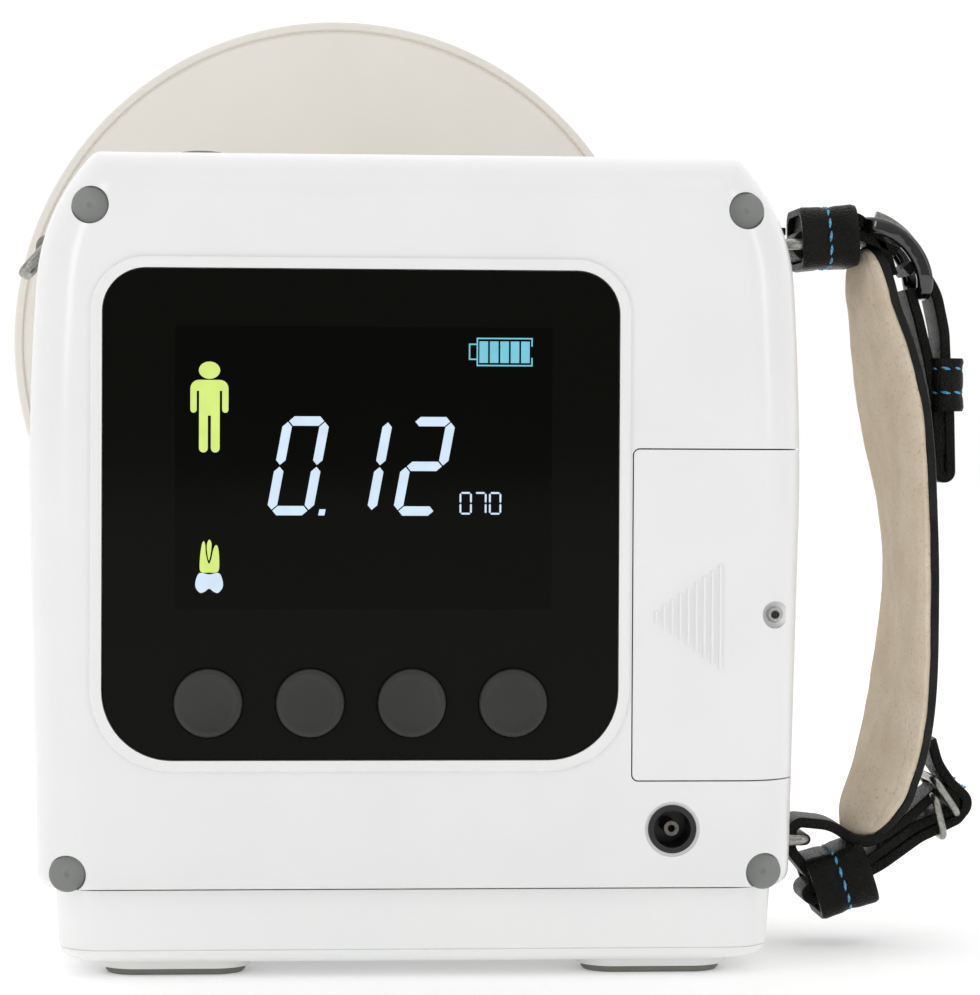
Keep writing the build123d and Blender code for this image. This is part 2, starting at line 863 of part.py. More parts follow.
# Battery bay tub, flanged against the inner face of the front housing
with BuildPart() as battery_bay:
    slab((bay_left, bay_right), (face_back + bay_lip, bay_back), (bay_base, bay_top))
    slab(
        (bay_left - bay_flange, bay_left + bay_wall), (face_back, face_back + bay_wall),
        (bay_base - bay_flange, bay_top + bay_flange),
    )
    slab(
        (bay_left + bay_wall, bay_right - bay_wall),
        (face_back - overcut, bay_back - bay_wall),
        (bay_base + bay_wall, bay_top - bay_wall),
        mode=Mode.SUBTRACT,
    )
write(battery_bay, "battery_bay")

with BuildPart() as battery_pack:
    slab(
        (bay_left + bay_wall + pack_gap, bay_right - bay_wall - pack_gap),
        (face_back + pack_gap, bay_back - bay_wall - contact_height),
        (bay_base + bay_wall + seat_gap, bay_top - bay_wall - pack_gap),
    )
    fillet(battery_pack.edges().filter_by(Axis.Y), pack_corner)
write(battery_pack, "battery_pack")

with BuildPart() as battery_contacts:
    for place in range(contact_count):
        z = (bay_base + bay_top) / 2 + (place - (contact_count - 1) / 2) * contact_pitch
        slab(
            (bay_x - contact_width / 2, bay_x + contact_width / 2),
            (bay_back - bay_wall - contact_height, bay_back - bay_wall),
            (z - contact_width / 2, z + contact_width / 2),
        )
write(battery_contacts, "battery_contacts")

# DC socket: flanged barrel, centre pin and nut
with BuildPart() as dc_socket:
    bar(dc_x, dc_z, dc_face - dc_flange_proud, dc_face, dc_flange)
    bar(dc_x, dc_z, dc_face, dc_face + dc_depth + dc_back, dc_barrel)
    bar(dc_x, dc_z, -far, dc_face + dc_depth, dc_bore, mode=Mode.SUBTRACT)
write(dc_socket, "dc_socket")

with BuildPart() as dc_pin:
    bar(dc_x, dc_z, dc_face + dc_pin_sunk, dc_face + dc_depth, dc_pin_diameter)
    bar(dc_x, dc_z, -far, dc_face + dc_depth - dc_back, dc_pin_bore, mode=Mode.SUBTRACT)
write(dc_pin, "dc_pin")

with BuildPart() as dc_nut:
    with BuildSketch(Plane.XZ.offset(-face_back)):
        with Locations((dc_x, dc_z)):
            RegularPolygon(dc_nut_across / 2, 6, major_radius=False)
            Circle(dc_barrel / 2 + seat_gap, mode=Mode.SUBTRACT)
    extrude(amount=-dc_nut_thickness)
write(dc_nut, "dc_nut")

# Power button with a domed cap, and its switch on a small board
with BuildPart() as power_button:
    with BuildSketch(Plane.XZ.offset(-power_y)):
        with BuildLine():
            rim = (power_x + power_diameter / 2, top_height + power_proud - power_dome)
            crest = (power_x, top_height + power_proud)
            Line(crest, (power_x, power_stem_end))
            Polyline(
                (power_x, power_stem_end),
                (power_x + stem_diameter / 2, power_stem_end),
                (power_x + stem_diameter / 2, inner_top - button_gap - flange_thickness),
                (power_x + power_flange / 2, inner_top - button_gap - flange_thickness),
                (power_x + power_flange / 2, inner_top - button_gap),
                (power_x + power_diameter / 2, inner_top - button_gap),
                rim,
            )
            TangentArc(crest, rim, tangent=(1, 0))
        make_face()
    revolve(axis=Axis((power_x, power_y, 0), (0, 0, 1)))
write(power_button, "power_button")

with BuildPart() as power_switch:
    slab(
        (power_x - power_post_x - post_diameter / 2, power_x + power_post_x + post_diameter / 2),
        (power_y - switch_side / 2 - board_edge, power_y + switch_side / 2 + board_edge),
        (power_board_top - board_thickness, power_board_top),
    )
    slab(
        (power_x - switch_side / 2, power_x + switch_side / 2),
        (power_y - switch_side / 2, power_y + switch_side / 2),
        (power_board_top, power_board_top + switch_height),
    )
write(power_switch, "power_switch")

# X-ray tank with its cover, tube and transformer
with BuildPart() as tank_casing:
    slab(tank_x, (tank_front + tank_wall, tank_back), tank_z)
    slab(
        (tank_x[0] + tank_wall, tank_x[1] - tank_wall),
        (tank_front, tank_back - tank_wall),
        (tank_z[0] + tank_wall, tank_z[1] - tank_wall),
        mode=Mode.SUBTRACT,
    )
    bar(beam_x, beam_z, tank_front, tank_back + overcut, port_diameter, mode=Mode.SUBTRACT)
write(tank_casing, "tank_casing")

with BuildPart() as tank_cover:
    slab(tank_x, (tank_front, tank_front + tank_wall), tank_z)
write(tank_cover, "tank_cover")

with BuildPart() as x_ray_tube:
    with BuildSketch(Plane.XY.offset(beam_z)):
        with BuildLine():
            Polyline(
                (tank_x[0] + tank_wall + seat_gap, tube_y),
                (tank_x[0] + tank_wall + seat_gap, tube_y + tube_neck / 2),
                (beam_x - tube_bulb / 2, tube_y + tube_neck / 2),
                (beam_x - tube_bulb / 2 + tube_shoulder, tube_y + tube_diameter / 2),
                (beam_x + tube_bulb / 2 - tube_shoulder, tube_y + tube_diameter / 2),
                (beam_x + tube_bulb / 2, tube_y + tube_neck / 2),
                (tank_x[1] - tank_wall - seat_gap, tube_y + tube_neck / 2),
                (tank_x[1] - tank_wall - seat_gap, tube_y),
                close=True,
            )
        make_face()
    revolve(axis=Axis((0, tube_y, beam_z), (1, 0, 0)))
write(x_ray_tube, "x_ray_tube")

with BuildPart() as hv_transformer:
    slab(
        (beam_x - transformer_width / 2, beam_x + transformer_width / 2),
        (tank_front + tank_wall + seat_gap, tank_front + tank_wall + transformer_depth),
        (tank_z[0] + tank_wall, tank_z[1] - tank_wall - overcut),
    )
    slab(
        (beam_x - transformer_width / 4, beam_x + transformer_width / 4),
        (tank_front, tank_front + tank_wall + transformer_depth + overcut),
        (beam_z - transformer_width / 4, beam_z + transformer_width / 4),
        mode=Mode.SUBTRACT,
    )
write(hv_transformer, "hv_transformer")

with BuildPart() as beam_filter:
    bar(beam_x, beam_z, tank_back, tank_back + filter_thickness, filter_diameter)
write(beam_filter, "beam_filter")

# Beam cone in the nose, relieved at its root; its end holds the lead collimator in the nose floor
with BuildPart() as beam_cone:
    bar(beam_x, beam_z, cone_front, cone_back, cone_diameter)
    bar(beam_x, beam_z, cone_front - overcut, cone_back + overcut, cone_bore, mode=Mode.SUBTRACT)
    bar(
        beam_x, beam_z, cone_front - overcut, cone_front + cone_relief_length,
        cone_bore + 2 * cone_relief, mode=Mode.SUBTRACT,
    )
write(beam_cone, "beam_cone")

with BuildPart() as lead_collimator:
    bar(beam_x, beam_z, collimator_front, cone_front, collimator_diameter)
    bar(beam_x, beam_z, -far, far, collimator_bore, mode=Mode.SUBTRACT)
write(lead_collimator, "lead_collimator")

with BuildPart() as cone_end_ring:
    with BuildSketch(Plane.YZ.offset(beam_x)):
        with BuildLine():
            Polyline(
                (cone_back, beam_z + cone_bore / 2),
                (cone_back + end_ring_front, beam_z + cone_bore / 2),
                (cone_back + end_ring_front, beam_z + cone_diameter / 2),
                (cone_back, beam_z + cone_diameter / 2 + seat_gap + end_ring_proud),
                (cone_back - end_ring_length, beam_z + cone_diameter / 2 + seat_gap + end_ring_proud),
                (cone_back - end_ring_length, beam_z + cone_diameter / 2 + seat_gap),
                (cone_back, beam_z + cone_diameter / 2 + seat_gap),
                close=True,
            )
        make_face()
    revolve(axis=beam_axis)
write(cone_end_ring, "cone_end_ring")

# Exposure button, bezel and switch on the patient side
with BuildPart() as exposure_bezel:
    bar(trigger_x, trigger_z, back_y, back_y + bezel_proud, trigger_bezel)
    bar(trigger_x, trigger_z, -far, far, trigger_diameter + 2 * button_gap, mode=Mode.SUBTRACT)
    fillet(exposure_bezel.edges().group_by(Axis.Y)[-1].sort_by(SortBy.LENGTH)[-1], bezel_soft)
write(exposure_bezel, "exposure_bezel")

with BuildPart() as exposure_button:
    bar(trigger_x, trigger_z, back_y - wall - button_gap, trigger_back, trigger_diameter)
    fillet(exposure_button.edges().group_by(Axis.Y)[-1], trigger_soft)
    bar(
        trigger_x, trigger_z, back_y - wall - button_gap - flange_thickness,
        back_y - wall - button_gap, trigger_flange,
    )
    bar(
        trigger_x, trigger_z, trigger_stem_end,
        back_y - wall - button_gap - flange_thickness, stem_diameter,
    )
write(exposure_button, "exposure_button")

with BuildPart() as exposure_switch:
    slab(
        (trigger_x - trigger_switch_side / 2, trigger_x + trigger_switch_side / 2),
        (trigger_switch_front, trigger_switch_back),
        (trigger_z - trigger_switch_side / 2, trigger_z + trigger_switch_side / 2),
    )
    slab(
        (trigger_x - rib_spread, trigger_x + rib_spread),
        (trigger_switch_front, trigger_switch_front + board_thickness),
        (trigger_z - trigger_switch_side / 2, trigger_z + trigger_switch_side / 2),
    )
write(exposure_switch, "exposure_switch")

# Backscatter shield: disc with a rim line, on a collar that slides along the cone
with BuildPart() as backscatter_shield:
    with BuildSketch(Plane.YZ.offset(beam_x)):
        with BuildLine():
            Polyline(
                (shield_y, beam_z + collar_diameter / 2 - collar_step),
                (shield_y, beam_z + shield_diameter / 2 - shield_rim - shield_rim_height),
                (shield_y + shield_rim_height, beam_z + shield_diameter / 2 - shield_rim),
                (shield_y, beam_z + shield_diameter / 2 - shield_rim + shield_rim_height / 2),
                (shield_y, beam_z + shield_diameter / 2 - shield_rim_height / 2),
                (shield_y + shield_rim_height / 2, beam_z + shield_diameter / 2),
                (shield_y + shield_thickness, beam_z + shield_diameter / 2),
                (shield_y + shield_thickness, beam_z + collar_diameter / 2 - collar_step),
                close=True,
            )
        make_face()
    revolve(axis=beam_axis)
write(backscatter_shield, "backscatter_shield")

with BuildPart() as shield_collar:
    with BuildSketch(Plane.YZ.offset(beam_x)):
        with BuildLine():
            Polyline(
                (shield_y - collar_length, beam_z + collar_bore / 2),
                (shield_y - collar_length, beam_z + collar_bore / 2 + collar_wall),
                (shield_y, beam_z + collar_diameter / 2),
                (shield_y, beam_z + collar_diameter / 2 - collar_step),
                (shield_y + shield_thickness, beam_z + collar_diameter / 2 - collar_step),
                (shield_y + shield_thickness, beam_z + collar_bore / 2),
                close=True,
            )
        make_face()
    revolve(axis=beam_axis)
write(shield_collar, "shield_collar")


def right_lug(height):
    """Lug on the right side: shank through the wall, two ears and a standing pin."""
    with BuildPart() as lug:
        slab(
            (lug_root, lug_face),
            (lug_y - lug_shank / 2, lug_y + lug_shank / 2),
            (height - ear_top, height + ear_top),
        )
        for up in (-1, 1):
            z = sorted((height + up * ear_low, height + up * ear_top))
            slab((lug_face - ear_thickness, swing_x), (lug_y - ear_radius, lug_y + ear_radius), z)
            with Locations((swing_x, lug_y, sum(z) / 2)):
                Cylinder(ear_radius, ear_thickness)
        with Locations((swing_x, lug_y, height)):
            Cylinder(pin_radius, 2 * ear_low)
    return lug


def strap_ring(height):
    """Forged ring of the hand strap: eye on the lug's pin and a frame for the leather."""
    with BuildPart() as ring:
        with BuildLine(Plane.XY.offset(height)) as path:
            FilletPolyline(
                (swing_x + ring_near, lug_y + ring_neck),
                (swing_x + ring_shoulder, lug_y + ring_span / 2),
                (swing_x + ring_reach, lug_y + ring_span / 2),
                (swing_x + ring_reach, lug_y - ring_span / 2),
                (swing_x + ring_shoulder, lug_y - ring_span / 2),
                (swing_x + ring_near, lug_y - ring_neck),
                radius=ring_bend,
                close=True,
            )
        with BuildSketch(Plane(path.line @ 0, z_dir=path.line % 0)):
            Circle(wire / 2)
        sweep()
        with Locations((swing_x, lug_y, height)):
            Cylinder(eye_radius, eye_height)
            Cylinder(pin_radius + running_gap, far, mode=Mode.SUBTRACT)
    return ring


upper_lug = right_lug(upper_lug_z)
write(upper_lug, "upper_lug")
lower_lug = right_lug(lower_lug_z)
write(lower_lug, "lower_lug")
upper_ring = strap_ring(upper_lug_z)
write(upper_ring, "upper_ring")
lower_ring = strap_ring(lower_lug_z)
write(lower_ring, "lower_ring")

# Lug and ring for the neck strap on the left side
with BuildPart() as left_lug:
    slab(
        (-lug_face, -lug_root),
        (lug_y - lug_shank / 2, lug_y + lug_shank / 2),
        (left_lug_z - lug_shank / 2, left_lug_z + lug_shank / 2),
    )
    bar(left_pin_x, left_pin_z, lug_y - lug_shank / 2, lug_y + lug_shank / 2, 2 * left_eye)
    bar(
        left_pin_x, left_pin_z, -far, far, left_wire + 2 * running_gap, mode=Mode.SUBTRACT
    )
write(left_lug, "left_lug")


def wire_loop(start, lean, reach, span, wire_diameter, bend):
    """Closed four-sided wire loop: one side along Y at start, the rest leaning from it in XZ."""
    along = (sin(lean * pi / 180), 0, -cos(lean * pi / 180))
    across = Vector(along).cross(Vector(0, 1, 0))
    plane = Plane(origin=(start[0], lug_y, start[1]), x_dir=along, z_dir=across)
    with BuildPart() as loop:
        with BuildLine(plane) as path:
            FilletPolyline(
                (0, span / 2), (reach, span / 2), (reach, -span / 2), (0, -span / 2),
                radius=bend, close=True,
            )
        with BuildSketch(Plane(path.line @ 0, z_dir=path.line % 0)):
            Circle(wire_diameter / 2)
        sweep()
    return loop


left_ring = wire_loop(
    (left_pin_x, left_pin_z), -left_lean, left_reach, left_span, left_wire, left_bend
)
write(left_ring, "left_ring")


def leather(points, bends, width):
    """A leather band laid along a line of points in the XZ plane, with a bend at each corner."""
    with BuildPart() as strip:
        with BuildSketch(Plane.XZ.offset(width / 2 - lug_y)):
            with BuildLine():
                FilletPolyline(*points, radius=bends)
            trace(line_width=strap_thickness)
        extrude(amount=-width)
    return strip


def tube_keeper(centre, turn, length, height, width):
    """A keeper: a closed leather loop round the strap, turned in the XZ plane."""
    plane = Plane(
        origin=(centre[0], lug_y, centre[1]),
        x_dir=(0, 1, 0),
        z_dir=(cos(turn * pi / 180), 0, sin(turn * pi / 180)),
    )
    with BuildPart() as keeper:
        with BuildSketch(plane.offset(-length / 2)):
            RectangleRounded(width, height, keeper_corner)
            RectangleRounded(
                width - 2 * keeper_wall, height - 2 * keeper_wall, keeper_corner - keeper_wall,
                mode=Mode.SUBTRACT,
            )
        extrude(amount=length)
    return keeper


# Hand pad: leather outside and a suede lining inside, bowed over the hand
def pad_outline():
    """Outline of the pad seen from the side: round ended and widest in the middle."""
    with BuildSketch(Plane.YZ.offset(0)) as sketch:
        with BuildLine():
            middle = (lug_y + pad_width / 2, pad_middle[1])
            top = (lug_y + pad_end_width / 2, pad_top[1] - pad_end_width / 2)
            base = (lug_y + pad_end_width / 2, pad_base[1] + pad_end_width / 2)
            ThreePointArc(top, middle, base)
            ThreePointArc(top, (lug_y, pad_top[1]), (2 * lug_y - top[0], top[1]))
            ThreePointArc(base, (lug_y, pad_base[1]), (2 * lug_y - base[0], base[1]))
            ThreePointArc(
                (2 * lug_y - top[0], top[1]),
                (2 * lug_y - middle[0], middle[1]),
                (2 * lug_y - base[0], base[1]),
            )
        make_face()
    return sketch.sketch


def pad_layer(inside, outside):
    """One layer of the pad, between two distances outwards from its bow."""
    bow = ThreePointArc(pad_top, pad_middle, pad_base)
    with BuildPart() as layer:
        with BuildSketch(Plane.XZ.offset(pad_width - lug_y)):
            with Locations(bow.arc_center):
                Circle(bow.radius + outside)
                Circle(bow.radius + inside, mode=Mode.SUBTRACT)
        extrude(amount=-2 * pad_width)
        extrude(pad_outline(), amount=far, mode=Mode.INTERSECT)
    return layer


hand_pad = pad_layer(0, pad_leather)
write(hand_pad, "hand_pad")
pad_lining = pad_layer(-pad_lining_thickness, 0)
write(pad_lining, "pad_lining")

# Upper strap: doubled round the ring, through the keeper and over to the buckle
upper_bar = (swing_x + ring_reach, upper_lug_z)
loop_radius = (wire + strap_thickness) / 2 + strap_gap
upper_strap = leather(
    [
        (upper_tab_x, upper_lug_z - loop_radius),
        (upper_bar[0] - loop_radius, upper_lug_z - loop_radius),
        (upper_bar[0] - loop_radius, upper_lug_z + loop_radius),
        *upper_strap_points,
    ],
    [loop_radius - strap_gap / 4, loop_radius - strap_gap / 4, *upper_strap_bends],
    strap_width,
)
write(upper_strap, "upper_strap")
upper_keeper = tube_keeper(
    upper_keeper_centre, 0, keeper_length, keeper_height, keeper_width
)
write(upper_keeper, "upper_keeper")

# Buckle of the upper strap: two bowed cheeks, two cross bars and a prong
with BuildPart() as upper_buckle:
    for side in (-1, 1):
        cheek_y = lug_y + side * (buckle_width - cheek_thickness) / 2
        with BuildSketch(Plane.XZ.offset(cheek_thickness / 2 - cheek_y)):
            with BuildLine():
                ThreePointArc(buckle_top, buckle_bow, buckle_base)
            trace(line_width=cheek_height)
        extrude(amount=-cheek_thickness)
    for x, z in (buckle_top, buckle_base):
        bar(x, z, lug_y - buckle_width / 2, lug_y + buckle_width / 2, buckle_bar)
write(upper_buckle, "upper_buckle")

with BuildPart() as upper_prong:
    with BuildSketch(Plane.XZ.offset(prong_width / 2 - lug_y)):
        with BuildLine():
            ThreePointArc(prong_top, prong_bow, prong_base)
        trace(line_width=prong_thickness)
    extrude(amount=-prong_width)
write(upper_prong, "upper_prong")

# Tail strap: stitched to the pad, up through the buckle and down again through its keeper
tail_band = leather([*tail_inner_ply, *tail_outer_ply], tail_bends, strap_width)
with BuildPart() as tail_strap:
    add(tail_band.part)
    add(upper_prong.part, mode=Mode.SUBTRACT)
write(tail_strap, "tail_strap")
tail_keeper = tube_keeper(
    tail_keeper_centre, 90, tail_keeper_length, tail_keeper_height, tail_keeper_width
)
write(tail_keeper, "tail_keeper")

# Lower strap: doubled round the ring, through the keeper and up to the wire buckle
lower_bar = (swing_x + ring_reach, lower_lug_z)
lower_strap = leather(
    [
        *lower_upper_ply,
        (lower_bar[0] - loop_radius, lower_lug_z + loop_radius),
        (lower_bar[0] - loop_radius, lower_under_drop),
        *lower_under_ply,
    ],
    [*lower_upper_bends, loop_radius - strap_gap / 4, *lower_under_bends],
    strap_width,
)
write(lower_strap, "lower_strap")
lower_tab = leather(lower_tab_points, lower_tab_bends, strap_width)
write(lower_tab, "lower_tab")
lower_keeper = tube_keeper(
    lower_keeper_centre, lower_keeper_turn, keeper_length, keeper_height, keeper_width
)
write(lower_keeper, "lower_keeper")
lower_buckle = wire_loop(
    lower_buckle_start, lower_buckle_lean, lower_buckle_reach, buckle_width, buckle_wire, buckle_bend
)
write(lower_buckle, "lower_buckle")
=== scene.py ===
# %% [markdown]
# This lesson dresses a portable dental x-ray unit: a white moulded housing with a black display, a cone
# that carries a cream shield, and a hand strap of black leather with a suede pad. The engineering model is
# loaded first, and everything that is added below rides on one of its bodies.

# %% Load the frame
import math
import random

import bmesh
import bpy
from mathutils import Matrix, Vector, noise
from mathutils.bvhtree import BVHTree


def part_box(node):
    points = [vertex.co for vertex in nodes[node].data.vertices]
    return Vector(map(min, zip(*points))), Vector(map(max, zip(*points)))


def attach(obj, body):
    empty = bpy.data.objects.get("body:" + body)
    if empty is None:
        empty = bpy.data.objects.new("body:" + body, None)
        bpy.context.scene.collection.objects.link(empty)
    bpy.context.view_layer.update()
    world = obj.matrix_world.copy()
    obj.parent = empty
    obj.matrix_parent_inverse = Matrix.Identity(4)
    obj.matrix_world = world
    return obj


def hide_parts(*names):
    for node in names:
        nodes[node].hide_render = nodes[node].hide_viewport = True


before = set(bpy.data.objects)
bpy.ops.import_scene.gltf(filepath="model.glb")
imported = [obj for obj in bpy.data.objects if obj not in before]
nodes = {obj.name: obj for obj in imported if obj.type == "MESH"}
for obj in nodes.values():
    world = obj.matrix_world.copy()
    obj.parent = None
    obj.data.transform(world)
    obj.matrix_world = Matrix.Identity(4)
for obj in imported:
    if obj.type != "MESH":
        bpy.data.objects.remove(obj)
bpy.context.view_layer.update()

# %% [markdown]
# The real unit is measured in millimetres and Blender works in metres, so one function turns one into the
# other. Points of the strap are given as (x, z) pairs, because the strap is laid out in that plane.

# %% Units and small vector helpers
MM = 0.001


def point(x, y, z):
    """A place given in millimetres, as a vector in metres."""
    return Vector((x, y, z)) * MM


def box_mm(node):
    """Lowest and highest corner of a node of the model, in millimetres."""
    low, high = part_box(node)
    return Vector(low) / MM, Vector(high) / MM


# %% [markdown]
# Colours are written as the sRGB hex values that an eye or a colour picker reads. The renderer works in
# linear light, so one function converts them. The others add a shader node, start a material and link what
# most finishes have: two tones, a roughness that varies and a fine relief.

# %% Colour and shader helpers
def linear(hex_value):
    """An sRGB hex colour such as #EFEFEF as linear red, green, blue and alpha."""
    channels = [int(hex_value[place:place + 2], 16) / 255 for place in (1, 3, 5)]
    return (*[c / 12.92 if c <= 0.04045 else ((c + 0.055) / 1.055) ** 2.4 for c in channels], 1.0)


def add_node(tree, kind, inputs=None, **settings):
    """Add a shader node. Inputs are plain values or the sockets to link, settings are its properties."""
    made = tree.nodes.new(kind)
    for key, value in settings.items():
        setattr(made, key, value)
    for key, value in (inputs or {}).items():
        if isinstance(value, bpy.types.NodeSocket):
            tree.links.new(value, made.inputs[key])
        else:
            made.inputs[key].default_value = value
    return made


def new_material(name, **shader_values):
    """A material with one Principled shader, its values set on the sockets, and object coordinates."""
    made = bpy.data.materials.new(name)
    made.use_nodes = True
    tree = made.node_tree
    tree.nodes.clear()
    named = {
        key.replace("_", " ").title().replace("Ior", "IOR"): value for key, value in shader_values.items()
    }
    shader = add_node(tree, "ShaderNodeBsdfPrincipled", named)
    add_node(tree, "ShaderNodeOutputMaterial", {"Surface": shader.outputs[0]})
    place = add_node(tree, "ShaderNodeTexCoord").outputs["Object"]
    return made, tree, shader, place


def per_mm(size):
    """The texture scale whose features are about this many millimetres across."""
    return 1 / (size * MM)


def link_surface(
    tree, shader, dark, light, factor, grain=None, rough=None, relief=None, span=(0.35, 0.65),
    socket="Base Color",
):
    """Link what most finishes have and return the tone.

    A factor goes from the dark to the light hex colour over its span. A grain drives the roughness from
    the least to the most of rough, and the bump, whose strength and depth in mm are in relief.
    """
    ramp = add_node(tree, "ShaderNodeValToRGB", {"Fac": factor})
    for element, place, tone in zip(ramp.color_ramp.elements, span, (dark, light)):
        element.position = place
        element.color = linear(tone)
    tree.links.new(ramp.outputs["Color"], shader.inputs[socket])
    if rough:
        ranged = add_node(
            tree, "ShaderNodeMapRange", {"Value": grain, "To Min": rough[0], "To Max": rough[1]}
        )
        tree.links.new(ranged.outputs["Result"], shader.inputs["Roughness"])
    if relief:
        bump = add_node(
            tree, "ShaderNodeBump", {"Height": grain, "Strength": relief[0], "Distance": relief[1] * MM}
        )
        tree.links.new(bump.outputs["Normal"], shader.inputs["Normal"])
    return ramp.outputs["Color"]


# %% [markdown]
# Most of the unit is injection moulded. Gloss ABS, satin ABS, silicone and thermoplastic rubber differ in
# how rough the tool's surface was and how the polymer reflects, so one recipe with different numbers makes
# them all: a slow drift of tone, a fine grain in the roughness, and a shallow bump of the same grain.

# %% Moulded plastics and rubbers
tone_drift = 18.0
gloss_spread = 0.05


def moulded(name, dark, light, roughness, grain, depth, ior=1.5):
    """A moulded polymer; grain and depth are the size and height of its surface texture in mm."""
    made, tree, shader, place = new_material(name, ior=ior)
    drift = add_node(
        tree, "ShaderNodeTexNoise", {"Vector": place, "Scale": per_mm(tone_drift), "Detail": 2.0}
    )
    fine = add_node(tree, "ShaderNodeTexNoise", {"Vector": place, "Scale": per_mm(grain), "Detail": 3.0})
    link_surface(
        tree, shader, dark, light, drift.outputs["Fac"], fine.outputs["Fac"],
        (roughness - gloss_spread, roughness + gloss_spread), (0.5, depth),
    )
    return made


# Gloss ABS from a polished tool: a clear highlight with a very faint orange peel
gloss_abs = moulded("gloss_white_abs", "#EBEBEB", "#EDEDED", 0.2, 2.2, 0.008, ior=1.53)
# Satin ABS of the base, from a lightly etched tool
satin_abs = moulded("satin_white_abs", "#F1F2F1", "#F3F3F2", 0.34, 0.5, 0.01, ior=1.53)
# Thermoplastic rubber of the corner plugs and the cone's end ring
plug_rubber = moulded("grey_elastomer", "#7C7E7C", "#868886", 0.5, 0.35, 0.02, ior=1.49)
# Moulded rubber feet, matt so that they grip
foot_rubber = moulded("foot_rubber", "#74746F", "#80807B", 0.68, 0.3, 0.03, ior=1.49)
# Silicone buttons: dull, with a soft bloom
button_silicone = moulded("dark_silicone", "#282926", "#2F302D", 0.46, 0.3, 0.015, ior=1.43)
power_silicone = moulded("blue_black_silicone", "#232830", "#2B313A", 0.42, 0.3, 0.015, ior=1.43)
grey_silicone = moulded("grey_silicone", "#6E706C", "#7A7C78", 0.48, 0.3, 0.015, ior=1.43)
# Glass filled nylon of the charging socket, almost black
black_nylon = moulded("black_nylon", "#0D0D0C", "#141413", 0.34, 0.4, 0.012)
# Leaded acrylic of the backscatter shield: a dense cream sheet with a soft polish
shield_acrylic = moulded("leaded_acrylic", "#EAE6DD", "#ECE8E0", 0.36, 0.8, 0.006, ior=1.49)
cone_abs = moulded("cone_abs", "#E4E3DF", "#E7E6E2", 0.3, 0.6, 0.008, ior=1.53)
tape_foam = moulded("foam_tape", "#101010", "#181818", 0.9, 0.25, 0.05)
board_laminate = moulded("board_laminate", "#1F4A2C", "#2A5A36", 0.4, 0.5, 0.01)
battery_sleeve = moulded("shrink_sleeve", "#22385C", "#2A4470", 0.35, 0.6, 0.01)
potting_epoxy = moulded("potting_epoxy", "#2C2A26", "#37342F", 0.45, 0.8, 0.02)
print("moulded finishes:", len(bpy.data.materials))

# %% [markdown]
# The display window is a sheet of acrylic printed black behind, and the crystal cell under it is a shade
# darker and cooler than the print. A mask from object coordinates draws that rectangle at its real size,
# so it needs no image and stays put from every side.

# %% Printed acrylic
cell_width = 70.1
cell_height = 52.6
cell_x = -10.4
cell_z = 96.0
# The hard coat cuts reflections, so the specular level is low
window_acrylic, tree, shader, place = new_material(
    "printed_acrylic", ior=1.49, roughness=0.07, specular_ior_level=0.07
)
split = add_node(tree, "ShaderNodeSeparateXYZ", {"Vector": place})
inside = []
for axis, middle, size in (("X", cell_x, cell_width), ("Z", cell_z, cell_height)):
    away = add_node(tree, "ShaderNodeMath", {0: split.outputs[axis], 1: middle * MM}, operation="SUBTRACT")
    reach = add_node(tree, "ShaderNodeMath", {0: away.outputs[0]}, operation="ABSOLUTE")
    within = add_node(tree, "ShaderNodeMath", {0: reach.outputs[0], 1: size / 2 * MM}, operation="LESS_THAN")
    inside.append(within.outputs[0])
cell = add_node(tree, "ShaderNodeMath", {0: inside[0], 1: inside[1]}, operation="MULTIPLY")
wipe = add_node(tree, "ShaderNodeTexNoise", {"Vector": place, "Scale": per_mm(30.0), "Detail": 4.0})
link_surface(
    tree, shader, "#0B0C08", "#050604", cell.outputs[0], wipe.outputs["Fac"], (0.05, 0.11), span=(0.4, 0.6)
)

# %% [markdown]
# Metals keep the default index and get their look from colour, roughness and the marks of how they were
# made. Turned and drawn parts carry fine lines, plating is smoother, and enamel is a dark gloss coat.

# %% Metals
def metal(name, dark, light, roughness, line, depth, stretch=(1.0, 1.0, 1.0)):
    """A metal whose fine marks are line mm apart, drawn out along an axis by stretch."""
    made, tree, shader, place = new_material(name, metallic=1.0)
    drawn = add_node(tree, "ShaderNodeMapping", {"Vector": place, "Scale": stretch})
    lines = add_node(
        tree, "ShaderNodeTexNoise",
        {"Vector": drawn.outputs["Vector"], "Scale": per_mm(line), "Detail": 4.0},
    ).outputs["Fac"]
    link_surface(
        tree, shader, dark, light, lines, lines, (roughness - 0.06, roughness + 0.08), (0.4, depth)
    )
    return made


zinc_steel = metal("zinc_plated_steel", "#A9AAA8", "#C4C4C1", 0.32, 0.3, 0.01)
nickel_wire = metal("nickel_plated_wire", "#8A8985", "#A9A8A2", 0.3, 0.4, 0.01, (1.0, 0.2, 1.0))
turned_brass = metal("turned_brass", "#B08A4A", "#CBA765", 0.28, 0.25, 0.01, (1.0, 0.1, 1.0))
cast_aluminium = metal("cast_aluminium", "#A5A6A7", "#BDBEBF", 0.45, 0.6, 0.03)
cast_lead = metal("cast_lead", "#55585C", "#6A6D70", 0.55, 0.8, 0.03)
nickel_pin = metal("nickel_pin", "#5C5954", "#75726B", 0.35, 0.3, 0.01)

# Black stoved enamel of the buckle: a deep gloss with slight waves from the dipping
black_enamel, tree, shader, place = new_material(
    "black_enamel", roughness=0.06, ior=1.55, specular_ior_level=0.8
)
waves = add_node(
    tree, "ShaderNodeTexNoise", {"Vector": place, "Scale": per_mm(3.5), "Detail": 1.0}
).outputs["Fac"]
link_surface(tree, shader, "#0A0A0A", "#121211", waves, waves, relief=(0.8, 0.2))

